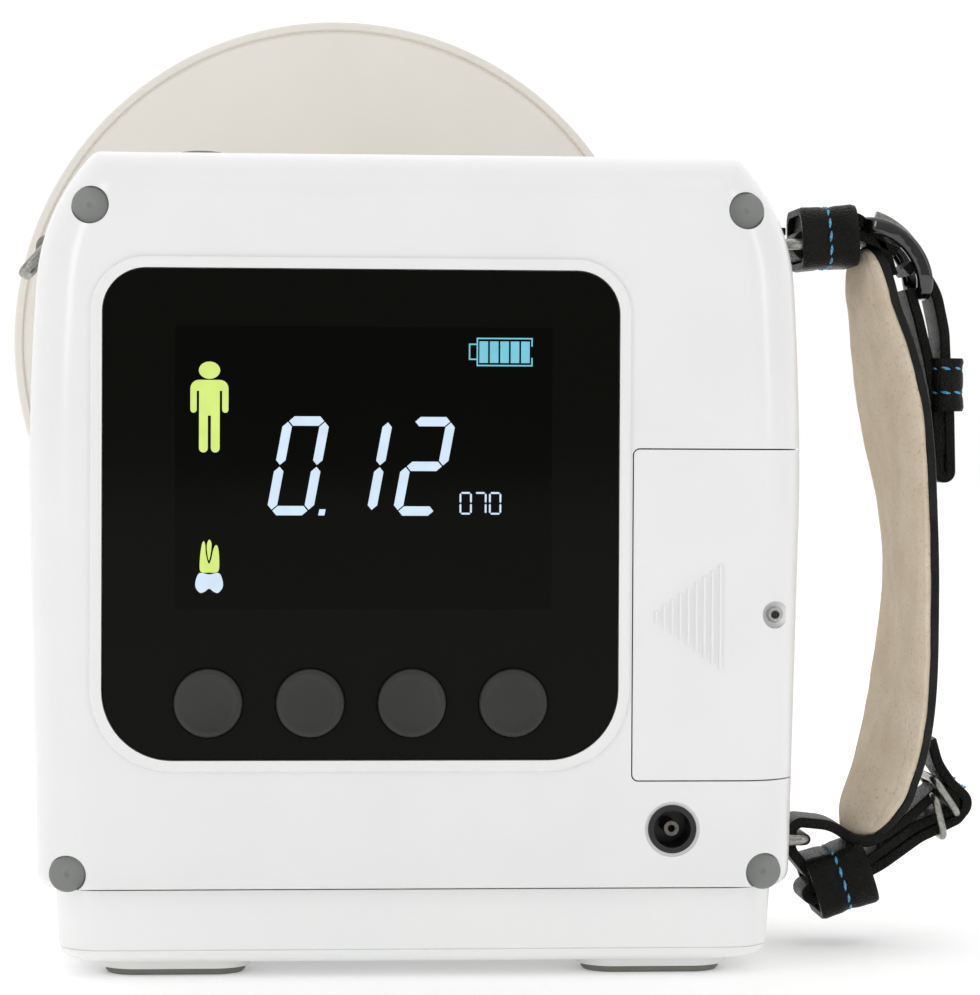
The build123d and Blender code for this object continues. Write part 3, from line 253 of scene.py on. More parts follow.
# Borosilicate glass of the tube's envelope
tube_glass, tree, shader, place = new_material(
    "borosilicate_glass", roughness=0.05, ior=1.47, transmission_weight=0.9
)
haze = add_node(tree, "ShaderNodeTexNoise", {"Vector": place, "Scale": per_mm(6.0)})
link_surface(tree, shader, "#DDE4E0", "#EEF2EF", haze.outputs["Fac"])

# %% [markdown]
# Leather is skin: pebbles a bit under a millimetre across with creases between them. A Voronoi texture
# gives the pebbles and a finer noise the pores. The suede is the split's flesh side: a short nap that
# scatters light at the edges, so it has sheen, and sparse darker specks.

# %% Leather, suede and thread
def grained_leather(name, dark, light, roughness, grain, depth):
    """Black finished leather with pebbles of the given size, in mm."""
    made, tree, shader, place = new_material(name, ior=1.5, specular_ior_level=0.1)
    warp = add_node(tree, "ShaderNodeTexNoise", {"Vector": place, "Scale": per_mm(3.0), "Detail": 2.0})
    bent = add_node(
        tree, "ShaderNodeVectorMath",
        {0: warp.outputs["Color"], 1: (grain * MM * 0.6,) * 3}, operation="MULTIPLY",
    )
    moved = add_node(tree, "ShaderNodeVectorMath", {0: place, 1: bent.outputs[0]}, operation="ADD")
    pebbles = add_node(
        tree, "ShaderNodeTexVoronoi", {"Vector": moved.outputs[0], "Scale": per_mm(grain)},
        feature="DISTANCE_TO_EDGE",
    )
    crease = add_node(
        tree, "ShaderNodeMapRange", {"Value": pebbles.outputs["Distance"], "From Max": 0.22},
    )
    pores = add_node(tree, "ShaderNodeTexNoise", {"Vector": place, "Scale": per_mm(0.28), "Detail": 3.0})
    height = add_node(
        tree, "ShaderNodeMath", {0: pores.outputs["Fac"], 1: 0.35, 2: crease.outputs["Result"]},
        operation="MULTIPLY_ADD",
    )
    blotch = add_node(tree, "ShaderNodeTexNoise", {"Vector": place, "Scale": per_mm(7.0), "Detail": 3.0})
    link_surface(
        tree, shader, dark, light, blotch.outputs["Fac"], height.outputs[0],
        (roughness + 0.16, roughness - 0.04), (0.7, depth),
    )
    return made


black_leather = grained_leather("grained_black_leather", "#121211", "#1C1C1A", 0.34, 0.75, 0.2)
edge_leather = grained_leather("burnished_leather_edge", "#1A1B19", "#252623", 0.5, 1.1, 0.1)

# Tan suede with a short nap, clouds of tone where it is handled, and specks
tan_suede, tree, shader, place = new_material(
    "tan_suede", ior=1.45, roughness=0.95, specular_ior_level=0.15, sheen_weight=0.35, sheen_roughness=0.5,
)
shader.inputs["Sheen Tint"].default_value = linear("#E6DAC6")
cloud = add_node(tree, "ShaderNodeTexNoise", {"Vector": place, "Scale": per_mm(9.0), "Detail": 5.0})
nap = add_node(
    tree, "ShaderNodeTexNoise", {"Vector": place, "Scale": per_mm(0.6), "Detail": 6.0, "Roughness": 0.7}
)
base = link_surface(
    tree, shader, "#D8C8B0", "#E8DAC5", cloud.outputs["Fac"], nap.outputs["Fac"], relief=(1.0, 0.3),
    span=(0.3, 0.7),
)
specks = add_node(
    tree, "ShaderNodeTexNoise",
    {"Vector": place, "Scale": per_mm(0.75), "Detail": 4.0, "Roughness": 0.75},
)
spotted = add_node(
    tree, "ShaderNodeMapRange",
    {"Value": specks.outputs["Fac"], "From Min": 0.56, "From Max": 0.7, "To Max": 0.5},
)
speckled = add_node(
    tree, "ShaderNodeMix", {0: spotted.outputs["Result"], 6: base, 7: linear("#8A7860")},
    data_type="RGBA",
)
tree.links.new(speckled.outputs[2], shader.inputs["Base Color"])

# Blue waxed thread of the stitches, its twist drawn as fine diagonal waves
blue_thread, tree, shader, place = new_material("waxed_thread", ior=1.5, roughness=0.55)
twist = add_node(
    tree, "ShaderNodeTexWave", {"Vector": place, "Scale": per_mm(1.2), "Distortion": 2.0},
    bands_direction="DIAGONAL",
).outputs["Fac"]
link_surface(tree, shader, "#3F86B5", "#66B2DE", twist, twist, relief=(0.6, 0.08))

# %% [markdown]
# The lit marks of the display glow. An emission colour on the shader gives them their light, a little
# uneven as a back light is.

# %% Back lit marks
def backlit(name, tone, strength):
    """A lit segment or symbol of the display."""
    made, tree, shader, place = new_material(name, roughness=0.4, emission_strength=strength)
    shader.inputs["Base Color"].default_value = linear("#0A0B09")
    glow = add_node(tree, "ShaderNodeTexNoise", {"Vector": place, "Scale": per_mm(4.0), "Detail": 1.0})
    dim = "#" + "".join(f"{int(int(tone[k:k + 2], 16) * 0.97):02X}" for k in (1, 3, 5))
    link_surface(tree, shader, dim, tone, glow.outputs["Fac"], socket="Emission Color")
    return made


lit_white = backlit("backlit_white", "#D6E9FC", 1.0)
lit_green = backlit("backlit_green", "#D9F07C", 1.0)
lit_blue = backlit("backlit_blue", "#74C9DE", 1.0)

# %% [markdown]
# Every node of the engineering model gets the finish of the real piece. The list goes by finish, with the
# nodes that have it.

# %% Finishes of the model's own nodes
finishes = {
    gloss_abs: "front_housing rear_housing battery_door exposure_bezel",
    satin_abs: "base_skirt bottom_plate",
    plug_rubber: "corner_plugs cone_end_ring",
    foot_rubber: "foot_pads",
    button_silicone: "display_button_1 display_button_2 display_button_3 display_button_4",
    grey_silicone: "exposure_button",
    power_silicone: "power_button",
    black_nylon: "dc_socket battery_bay tact_switches power_switch exposure_switch lcd_panel",
    shield_acrylic: "backscatter_shield",
    cone_abs: "beam_cone shield_collar",
    tape_foam: "window_tape",
    board_laminate: "main_board",
    battery_sleeve: "battery_pack",
    potting_epoxy: "hv_transformer",
    window_acrylic: "display_window",
    zinc_steel: "bottom_screws housing_screws door_screw lcd_frame dc_nut",
    nickel_wire: "upper_lug lower_lug left_lug upper_ring lower_ring left_ring lower_buckle upper_prong",
    turned_brass: "door_insert battery_contacts",
    nickel_pin: "dc_pin",
    cast_aluminium: "tank_casing tank_cover beam_filter",
    cast_lead: "lead_collimator",
    black_enamel: "upper_buckle",
    tube_glass: "x_ray_tube",
    black_leather: "hand_pad upper_strap upper_keeper tail_strap tail_keeper lower_strap lower_tab"
                   " lower_keeper",
    tan_suede: "pad_lining",
}
for finish, names in finishes.items():
    for name in names.split():
        piece = nodes[name]
        piece.data.materials.clear()
        piece.data.materials.append(finish)
dressed = {name for names in finishes.values() for name in names.split()}
print("nodes without a finish:", sorted(set(nodes) - dressed))

# %% [markdown]
# The pieces below are grids of points: rings that are joined to their neighbours. One function builds any
# such skin, and a second puts the piece on its body and hides the nodes of the model that it stands for.

# %% Mesh builders
def skin(rings, capped=True):
    """Points and faces of a surface through equal closed rings, with a face over each end if capped."""
    count = len(rings[0])
    points = [place for ring in rings for place in ring]
    faces = []
    for row in range(len(rings) - 1):
        for column in range(count):
            here = row * count + column
            beside = row * count + (column + 1) % count
            faces.append((here, beside, beside + count, here + count))
    if capped:
        faces.append(tuple(reversed(range(count))))
        faces.append(tuple(range((len(rings) - 1) * count, len(rings) * count)))
    return points, faces


def joined(parts):
    """Several (points, faces) as one."""
    points, faces = [], []
    for some_points, some_faces in parts:
        start = len(points)
        points += some_points
        faces += [tuple(index + start for index in face) for face in some_faces]
    return points, faces


def make_piece(name, shape, finish, body, stands_for=(), sharp=40.0):
    """A mesh object from points in metres, smooth below the sharp angle, riding on its body."""
    points, faces = shape
    mesh = bpy.data.meshes.new(name)
    mesh.from_pydata([tuple(p) for p in points], [], faces)
    tidy = bmesh.new()
    tidy.from_mesh(mesh)
    bmesh.ops.remove_doubles(tidy, verts=tidy.verts, dist=1e-7)
    bmesh.ops.recalc_face_normals(tidy, faces=tidy.faces)
    tidy.to_mesh(mesh)
    tidy.free()
    mesh.polygons.foreach_set("use_smooth", [True] * len(mesh.polygons))
    mesh.set_sharp_from_angle(angle=math.radians(sharp))
    mesh.materials.append(finish)
    piece = bpy.data.objects.new(name, mesh)
    bpy.context.scene.collection.objects.link(piece)
    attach(piece, body)
    if stands_for:
        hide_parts(*stands_for)
    return piece


# %% [markdown]
# The display shows plain figures in seven slanted segments, a standing figure, a tooth and a battery.
# They are thin plates on the front of the window. Each plate is drawn as a flat outline in millimetres
# and then given its small thickness.

# %% Flat marks
mark_height = 0.06
mark_root = 0.02
window_front = box_mm("display_window")[0].y


def plate(outline, y=window_front, height=mark_height):
    """A closed outline in (x, z) mm as a thin plate that stands out of the surface at y."""
    return skin([[point(x, level, z) for x, z in outline] for level in (y + mark_root, y - height)])


def marks(name, outlines, place, finish):
    """Flat outlines, moved to their place on the window, as one piece of the display."""
    plates = [plate([(x + place[0], z + place[1]) for x, z in outline]) for outline in outlines]
    return make_piece(name, joined(plates), finish, "housing")


def bar_outline(x0, x1, z0, z1):
    """A rectangle's corners."""
    return [(x0, z0), (x1, z0), (x1, z1), (x0, z1)]


def corner_arc(centre, radius, first, last, steps=8):
    """Points on an arc, in degrees, with separate radii along x and z if two are given."""
    rx, rz = radius if isinstance(radius, tuple) else (radius, radius)
    turns = [math.radians(first + (last - first) * step / steps) for step in range(steps + 1)]
    return [(centre[0] + rx * math.cos(turn), centre[1] + rz * math.sin(turn)) for turn in turns]


def smooth_loop(corners, steps=6):
    """A closed Catmull-Rom curve through the corners."""
    count = len(corners)
    made = []
    for index in range(count):
        p0, p1, p2, p3 = (Vector(corners[(index + k - 1) % count]) for k in range(4))
        for step in range(steps):
            t = step / steps
            made.append(tuple(0.5 * (
                2 * p1 + (p2 - p0) * t + (2 * p0 - 5 * p1 + 4 * p2 - p3) * t * t
                + (3 * p1 - p0 - 3 * p2 + p3) * t ** 3
            )))
    return made


# %% [markdown]
# A seven segment figure is seven bars with pointed ends. The slant moves each point to the right by a
# fixed share of its height.

# %% Seven segment figures
lit_segments = {"0": "abcdef", "1": "bc", "2": "abged", "7": "abc"}


def segment_outlines(figure, width, height, bar, gap, slant):
    """Outlines of the lit segments of one figure whose lower left corner is at zero."""
    half = bar / 2
    middle = height / 2
    left, right = half, width - half
    ends = {
        "a": ((left, height - half), (right, height - half)), "g": ((left, middle), (right, middle)),
        "d": ((left, half), (right, half)), "b": ((right, middle), (right, height - half)),
        "c": ((right, half), (right, middle)), "f": ((left, middle), (left, height - half)),
        "e": ((left, half), (left, middle)),
    }
    outlines = []
    for name in lit_segments[figure]:
        start, end = (Vector(place) for place in ends[name])
        along = (end - start).normalized()
        across = Vector((-along.y, along.x)) * half
        start, end = start + along * gap, end - along * gap
        corners = [
            start, start + along * half + across, end - along * half + across,
            end, end - along * half - across, start + along * half - across,
        ]
        outlines.append([(corner.x + slant * corner.y, corner.y) for corner in corners])
    return outlines


figure_left = -28.62
figure_base = 87.2
figure_pitch = 11.72
figure_slant = 0.184
point_left = 9.72
point_side = 1.15
small_left = 36.02
small_base = 0.25
small_pitch = 2.75
figures = []
for place, figure in enumerate("012"):
    for outline in segment_outlines(figure, 8.6, 18.4, bar=1.75, gap=0.17, slant=figure_slant):
        figures.append([(x + place * figure_pitch, z) for x, z in outline])
dot = [(0, 0), (point_side, 0), (point_side * 1.2, point_side), (point_side * 0.2, point_side)]
figures.append([(x + point_left, z) for x, z in dot])
for place, figure in enumerate("070"):
    for outline in segment_outlines(figure, 2.3, 4.2, bar=0.34, gap=0.1, slant=0.0):
        figures.append([(x + small_left + place * small_pitch, z + small_base) for x, z in outline])
marks("display_figures", figures, (figure_left, figure_base), lit_white)
print("lit segments:", len(figures))

# %% [markdown]
# The standing figure is the common sign for a grown patient. Half of its outline is drawn and mirrored:
# leg, trunk, arm and shoulder, with round ends made from arcs.

# %% Patient sign
sign_place = (-39.1, 98.8)
leg_gap = 0.28
trunk = 1.91
arm_in = 2.35
arm_out = 3.52
arm_end = 7.95
armpit = 11.43
shoulder = 13.46
shoulder_radius = 1.6
foot_radius = (trunk - leg_gap) / 2
hand_radius = (arm_out - arm_in) / 2
half_sign = [
    (leg_gap, 6.85),
    *corner_arc((leg_gap + foot_radius, foot_radius), foot_radius, 180, 360),
    (trunk, armpit), (arm_in, armpit),
    *corner_arc((arm_in + hand_radius, arm_end), hand_radius, 180, 360),
    *corner_arc((arm_out - shoulder_radius, shoulder - shoulder_radius), shoulder_radius, 0, 90),
]
sign = half_sign + [(-x, z) for x, z in reversed(half_sign)]
head = corner_arc((0, 15.25), (1.97, 1.6), 0, 348, 29)
marks("patient_sign", [sign, head], sign_place, lit_green)

# %% [markdown]
# The tooth is a molar seen from the side: green roots over a pale crown with two cusps.

# %% Tooth sign
tooth_place = (-39.05, 72.6)
crown = smooth_loop([
    (-1.75, 3.85), (-2.45, 2.6), (-2.5, 1.2), (-1.7, 0.2), (-0.8, 0.4), (0.0, 0.95),
    (0.9, 0.35), (1.7, 0.2), (2.5, 1.2), (2.45, 2.6), (1.75, 3.85), (0.0, 3.6),
])
roots = smooth_loop([
    (-1.6, 4.15), (-1.72, 6.4), (-1.4, 9.0), (-1.05, 9.75), (-0.75, 9.1), (-0.62, 7.4), (-0.1, 5.6),
    (0.35, 6.4), (0.75, 8.2), (1.2, 9.05), (1.65, 8.5), (1.85, 6.4), (1.65, 4.15), (0.0, 3.95),
])
middle_root = smooth_loop([(-0.05, 6.2), (-0.38, 7.6), (-0.42, 9.2), (0.0, 10.05), (0.42, 9.3), (0.28, 7.6)])
marks("tooth_roots", [roots, middle_root], tooth_place, lit_green)
marks("tooth_crown", [crown], tooth_place, lit_white)

# %% [markdown]
# The battery sign is a fine frame, a nib at its left, and five bars for the charge that is left.

# %% Battery sign
battery_place = (9.02, 115.1)
line = 0.26
frame_left = 1.45
frame_right = 11.92
frame_high = 5.3
nib_low = 1.15
nib_high = 4.2
return_length = 1.6
charge_left = 1.98
charge_pitch = 1.945
charge_width = 1.6
strokes = [
    bar_outline(frame_left, frame_right, frame_high - line, frame_high),
    bar_outline(frame_left, frame_right, 0, line),
    bar_outline(frame_left, frame_left + line, line, frame_high - line),
    bar_outline(frame_right - line, frame_right, line, return_length),
    bar_outline(frame_right - line, frame_right, frame_high - return_length, frame_high - line),
    bar_outline(0, frame_left, nib_high - line, nib_high),
    bar_outline(0, frame_left, nib_low, nib_low + line),
    bar_outline(0, line, nib_low + line, nib_high - line),
]
for bar in range(5):
    start = charge_left + bar * charge_pitch
    strokes.append(bar_outline(start, start + charge_width, 0.62, 4.63))
marks("battery_sign", strokes, battery_place, lit_blue)

# %% [markdown]
# The four buttons are silicone caps. A turned profile suits them: a shallow dish, a soft raised ring and
# a rounded shoulder that catches the light. Each replaces the plain cap of the model at the same place.

# %% Display buttons
def middle_of(node):
    """The middle of a node's box, in mm."""
    low, high = box_mm(node)
    return (low + high) / 2


def lathe(profile, centre, steps=72):
    """A solid of revolution about Y through centre; the profile is (radius, y) in mm from the front."""
    turns = [2 * math.pi * step / steps for step in range(steps)]
    return skin([
        [point(centre[0] + radius * math.cos(t), y, centre[1] + radius * math.sin(t)) for t in turns]
        for radius, y in profile
    ])


cap_radius = 6.4
cap_depth = 2.6
shoulder_in, shoulder_down = 0.75, 0.85
cap_dish = [(0.05, 0.34), (2.0, 0.33), (4.2, 0.28), (4.9, 0.2), (5.15, 0.08), (5.35, 0.01), (5.55, 0.0)]
cap_shoulder = corner_arc(
    (cap_radius - shoulder_in, shoulder_down), (shoulder_in, shoulder_down), -75, 0, 5
)
cap_wall = [(cap_radius, 1.6), (cap_radius, cap_depth), (0.05, cap_depth)]
for number in range(1, 5):
    node = f"display_button_{number}"
    front = box_mm(node)[0].y
    profile = [(radius, front + depth) for radius, depth in cap_dish + cap_shoulder + cap_wall]
    make_piece(
        f"button_cap_{number}", lathe(profile, middle_of(node).xz), button_silicone, node,
        [node], sharp=60,
    )

# %% [markdown]
# The door's screw has a socket head. Its recess is a real hole in the turned profile, and a dark plate at
# its bottom stands for the oxide and shade in the drive.

# %% Door screw
low, high = box_mm("door_screw")
screw_centre = middle_of("door_screw").xz
head_radius = (high.x - low.x) / 2
head_front = low.y
recess_radius = 0.5 * head_radius
recess_depth = 1.4
neck_radius = 0.7 * head_radius
head = [
    (0.05, head_front + recess_depth), (recess_radius, head_front + recess_depth),
    (recess_radius, head_front + 0.12), (recess_radius + 0.12, head_front),
    (head_radius - 0.3, head_front), (head_radius, head_front + 0.3), (head_radius, head_front + 1.8),
    (neck_radius, head_front + 2.4), (neck_radius, high.y), (0.05, high.y),
]
make_piece(
    "socket_screw", lathe(head, screw_centre), zinc_steel, "door_screw", ["door_screw"], sharp=35
)
drive = corner_arc(screw_centre, recess_radius * 0.98, 30, 330, 5)
make_piece(
    "socket_shade", plate(drive, head_front + recess_depth - 0.5, 0.3), black_nylon, "door_screw"
)
print("screw head across, mm:", round(2 * head_radius, 2))

# %% [markdown]
# The power button on the top is a low dome of the same silicone, turned about the vertical.

# %% Power button
low, high = box_mm("power_button")
dome_centre = middle_of("power_button").xy
dome_radius = (high.x - low.x) / 2
dome_top = high.z - 1.2
dome_foot = low.z + 1.0
dome = [
    (0.05, dome_top), (2.6, dome_top - 0.06), (3.9, dome_top - 0.25), (4.8, dome_top - 0.62),
    (dome_radius, dome_top - 1.25), (dome_radius, dome_foot), (0.05, dome_foot),
]
turns = [2 * math.pi * step / 64 for step in range(64)]
dome_rings = [
    [point(dome_centre[0] + r * math.cos(t), dome_centre[1] - r * math.sin(t), z) for t in turns]
    for r, z in dome
]
make_piece(
    "power_cap", skin(dome_rings), power_silicone, "power_button", ["power_button"],
    sharp=60,
)
print("power cap top, mm:", round(dome_top, 2))

# %% [markdown]
# The four corner plugs are flat elastomer discs that close the screw wells. Each sits level with the low,
# outer side of its well, so the hole's wall shows on the inner side. A ray cast on the housing finds that
# level, and a turned profile gives the disc its small bevel and the dimple of the mould's gate.

# %% Corner plugs
front_mesh = nodes["front_housing"].data
front_tree = BVHTree.FromPolygons(
    [vertex.co for vertex in front_mesh.vertices], [face.vertices[:] for face in front_mesh.polygons]
)
plug_places = [(-61.3, 144.6), (61.3, 144.6), (-65.2, 20.3), (65.2, 20.3)]
plug_radius = 3.45
well_margin = 0.45
ray_start_y = -80
unit_middle_z = 80
plug_floor = box_mm("corner_plugs")[1].y
plugs = []
for x, z in plug_places:
    upward = 0.55 if z > unit_middle_z else -0.2
    outward = Vector((math.copysign(1, x), upward)).normalized()
    rim = Vector((x, z)) + outward * (plug_radius + well_margin)
    hit = front_tree.ray_cast(point(rim.x, ray_start_y, rim.y), Vector((0, 1, 0)))[0]
    level = min(hit.y / MM if hit else plug_floor - 1.5, plug_floor - 1.0)
    print("plug at", (x, z), "level, mm:", round(level, 2))
    plugs.append(lathe([
        (0.05, level + 0.32), (0.35, level + 0.3), (0.55, level + 0.06), (0.8, level + 0.02),
        (2.9, level), (3.2, level + 0.05), (plug_radius, level + 0.35), (plug_radius, plug_floor),
        (0.05, plug_floor),
    ], (x, z)))
make_piece("plug_discs", joined(plugs), plug_rubber, "housing", ["corner_plugs"], sharp=50)

# %% [markdown]
# The base skirt is a box with round corners that leans in a little towards its foot. A fine groove runs
# round it above the lip. Rings of soft rectangles, one above the other, give that form in one skin.

# %% Base skirt
def soft_rectangle(width, height, radius, steps=4):
    """A rectangle with round corners, as (a, b) pairs about its centre."""
    made = []
    for a, b, first in ((1, 1, 0), (-1, 1, 90), (-1, -1, 180), (1, -1, 270)):
        middle = (a * (width / 2 - radius), b * (height / 2 - radius))
        made += corner_arc(middle, radius, first, first + 90, steps)
    return made


skirt_levels = [
    (67.9, 43.9, 9.0, box_mm("base_skirt")[1].z), (67.85, 43.85, 9.0, 15.0), (67.3, 43.3, 8.7, 6.2),
    (67.2, 43.2, 8.6, 5.75), (66.9, 42.9, 8.5, 5.6), (67.1, 43.1, 8.6, 5.45), (66.95, 42.95, 8.6, 4.9),
    (66.5, 42.5, 8.4, 4.2), (65.7, 41.6, 8.2, 3.55), (65.3, 41.1, 8.0, 3.4),
]
skirt_rings = [
    [point(a, b, z) for a, b in soft_rectangle(2 * half_x, 2 * half_y, corner, 10)]
    for half_x, half_y, corner, z in skirt_levels
]
make_piece("skirt_shell", skin(skirt_rings), satin_abs, "housing", ["base_skirt"], sharp=30)

# %% [markdown]
# A strap is a section carried along a line. The line is a run of straight stretches with rounded corners
# in the (x, z) plane, and the section is a rectangle with soft corners, because cut leather edges are
# bevelled and burnished.

# %% Lines and sections
def rounded_line(corners, radii, steps=10, spacing=2.0):
    """Points along a polyline whose inner corners are arcs of the given radii, in mm."""
    corners = [Vector(corner) for corner in corners]
    made = [corners[0]]
    for before, corner, after, radius in zip(corners, corners[1:], corners[2:], radii):
        to_back = (before - corner).normalized()
        to_front = (after - corner).normalized()
        half = to_back.angle(to_front) / 2
        setback = radius / math.tan(half)
        centre = corner + (to_back + to_front).normalized() * radius / math.sin(half)
        start = corner + to_back * setback - centre
        sweep = math.pi - 2 * half
        side = 1 if to_back.x * to_front.y - to_back.y * to_front.x < 0 else -1
        for step in range(steps + 1):
            turn = side * sweep * step / steps
            made.append(centre + Vector((
                start.x * math.cos(turn) - start.y * math.sin(turn),
                start.x * math.sin(turn) + start.y * math.cos(turn),
            )))
    made.append(corners[-1])
    dense = [made[0]]
    for first, second in zip(made, made[1:]):
        pieces = max(1, round((second - first).length / spacing))
        dense += [first.lerp(second, (k + 1) / pieces) for k in range(pieces)]
    return dense


def directions(line, closed=False):
    """Unit tangent at each point of a line."""
    count = len(line)
    made = []
    for index in range(count):
        before = line[(index - 1) % count] if closed else line[max(index - 1, 0)]
        after = line[(index + 1) % count] if closed else line[min(index + 1, count - 1)]
        made.append((after - before).normalized())
    return made


strap_width = 12.0
strap_thickness = 2.1
strap_edge = 0.45


def band(line, width=strap_width):
    """A leather band along a line in the (x, z) plane, its width along y."""
    rings = []
    for place, tangent in zip(line, directions(line)):
        normal = Vector((-tangent.y, tangent.x))
        ring = []
        for across, up in soft_rectangle(width, strap_thickness, strap_edge):
            spot = place + normal * up
            ring.append(point(spot.x, across, spot.y))
        rings.append(ring)
    return skin(rings)


def strap_piece(name, parts, stands_for=(), finish=black_leather, sharp=70.0):
    """One piece made of some (points, faces) with its finish, riding on the hand strap."""
    return make_piece(name, joined(parts), finish, "hand_strap", stands_for, sharp)


# %% [markdown]
# Hand stitching is a row of short slanted threads that sink into the leather at both ends. Each stitch is
# a small spindle, and the row follows any line of places with an outward direction.

# %% Stitches
random.seed(7)
thread_radius = 0.3
thread_sides = 8
stitch_bow = 0.28
stitch_sink = 0.1


def stitch(start, end, outward):
    """One spindle of thread from start to end, in mm, bowed outwards in the middle."""
    along = end - start
    side = along.cross(outward).normalized()
    rings = []
    for share in (0.0, 0.12, 0.3, 0.5, 0.7, 0.88, 1.0):
        swell = thread_radius * (0.25 + 0.75 * math.sin(math.pi * share))
        centre = start + along * share
        centre += outward * (stitch_bow * math.sin(math.pi * share) - stitch_sink)
        ring = []
        for step in range(thread_sides):
            turn = 2 * math.pi * step / thread_sides
            ring.append((centre + (side * math.cos(turn) + outward * math.sin(turn)) * swell) * MM)
        rings.append(ring)
    return skin(rings)


def stitch_row(places, outwards, pitch=2.7, fill=0.8):
    """Stitches along a row of places, pitch mm apart, each filling part of its pitch."""
    made = []
    reach = [0.0]
    for first, second in zip(places, places[1:]):
        reach.append(reach[-1] + (second - first).length)
    count = int(reach[-1] / pitch)

    def spot(distance):
        """Place and outward direction at a distance along the row."""
        for index in range(len(places) - 1):
            if distance <= reach[index + 1] or index == len(places) - 2:
                share = (distance - reach[index]) / max(reach[index + 1] - reach[index], 1e-9)
                return (
                    places[index].lerp(places[index + 1], share),
                    outwards[index].lerp(outwards[index + 1], share).normalized(),
                )

    for number in range(count):
        start = (number + 0.5) * reach[-1] / count - fill * pitch / 2
        first, out = spot(max(start, 0))
        second, _ = spot(min(start + fill * pitch, reach[-1]))
        slant = (second - first).cross(out).normalized() * random.uniform(0.12, 0.25)
        made.append(stitch(first - slant, second + slant, out))
    return made


# %% [markdown]
# A keeper is a short leather tube that holds the plies of the strap together. Its section is a soft
# rectangle round the strap. Along its length the leather is pinched a little in the middle, where the
# stitches pull, and its rims flare.

# %% Keepers
pinch_reach = 0.16
rim_flare = 0.18
rim_start = 0.9
rim_drop = 0.3


def keeper(centre, turn, length, height, width, wall=1.4, corner=3.4, rows=(0.0,), pinch=0.35):
    """A leather tube about a strap, and its rows of stitches at shares of the half length."""
    forward = Vector((math.cos(math.radians(turn)), 0, math.sin(math.radians(turn))))
    up = Vector((-forward.z, 0, forward.x))
    across = Vector((0, 1, 0))
    origin = Vector((centre[0], 0, centre[1]))
    outer = soft_rectangle(width, height, corner, 8)
    inner = soft_rectangle(width - 2 * wall, height - 2 * wall, max(corner - wall, 0.5), 8)

    def ring(outline, along, grow):
        """The outline at a distance along the keeper, grown outwards."""
        made = []
        for a, b in outline:
            made.append(origin + forward * along + across * a * (1 + 2 * grow / width)
                        + up * b * (1 + 2 * grow / height))
        return made

    steps = 14
    rings = []
    for step in range(steps + 1):
        share = 2 * step / steps - 1
        squeeze = sum(math.exp(-((share - row) / pinch_reach) ** 2) for row in rows)
        flare = rim_flare * abs(share) ** 3
        drop = rim_drop * max(0.0, (abs(share) - rim_start) / (1 - rim_start)) ** 2
        rings.append(ring(outer, share * length / 2, flare - pinch * squeeze - drop))
    for step in (steps, steps // 2, 0):
        share = 2 * step / steps - 1
        rings.append(ring(inner, share * (length / 2 - 0.05), 0.0))
    rings.append(rings[0])
    shape = skin([[place * MM for place in one] for one in rings], capped=False)
    threads = []
    for row in rows:
        places = ring(outer, row * length / 2, -pinch + 0.05)
        places.append(places[0])
        outwards = [(place - origin - forward * row * length / 2).normalized() for place in places]
        threads += stitch_row(places, outwards)
    return shape, threads


keepers = {
    "upper_keeper": keeper((83.5, 142.2), 4, 11.4, 12.3, 20.2, corner=4.6),
    "lower_keeper": keeper((87.0, 13.2), 18, 12.0, 12.4, 20.2, corner=4.2),
    "tail_keeper": keeper(
        (107.9, 112.8), 90, 10.6, 6.6, 15.6, wall=1.1, corner=2.6, rows=(-0.3, 0.62), pinch=0.25
    ),
}
for node, (shape, threads) in keepers.items():
    strap_piece(node + "_leather", [shape], [node], sharp=40)
    strap_piece(node + "_stitches", threads, finish=blue_thread, sharp=40)

# %% [markdown]
# The strap itself is four bands, each laid where the engineering model has its plain solid: the loop round
# the upper ring, the tail that comes up from the pad and folds down through its keeper, the loop round the
# lower ring, and the short tab under the pad.

# %% Strap bands
upper_loop = rounded_line(
    [(90.0, 138.5), (77.45, 138.5), (77.45, 142.7), (90.6, 142.7), (97.6, 139.4)], [2.0, 2.0, 6.0]
)
tail_line = rounded_line(
    [(100.2, 132.0), (102.0, 126.0), (103.9, 118.4), (105.9, 108.0), (106.3, 94.2), (108.7, 94.2),
     (108.4, 107.0), (107.6, 117.5), (107.3, 123.5), (105.7, 131.0), (101.8, 137.6), (99.4, 135.4)],
    [10.0, 20.0, 20.0, 1.15, 1.15, 40.0, 30.0, 20.0, 12.0, 1.4],
)
lower_loop = rounded_line(
    [(106.8, 31.2), (100.9, 25.9), (96.2, 22.4), (91.3, 20.3), (84.9, 24.3), (77.3, 25.1), (76.6, 19.6),
     (81.6, 13.6), (86.5, 12.9), (93.9, 15.3), (103.0, 21.8), (110.6, 25.4), (113.4, 28.9), (109.2, 32.8),
     (106.6, 36.6), (105.2, 41.5)],
    [12.0, 10.0, 5.0, 8.0, 2.2, 4.0, 4.0, 10.0, 20.0, 12.0, 2.4, 2.4, 5.0, 10.0],
)
tab_line = rounded_line(
    [(84.0, 13.6), (92.8, 17.2), (101.7, 23.7), (109.5, 27.2), (110.4, 29.6), (107.4, 31.4)],
    [8.0, 20.0, 1.3, 1.3],
)
bands = {
    "upper_strap": upper_loop, "tail_strap": tail_line, "lower_strap": lower_loop, "lower_tab": tab_line
}
for node, route in bands.items():
    strap_piece(node + "_leather", [band(route)], [node])

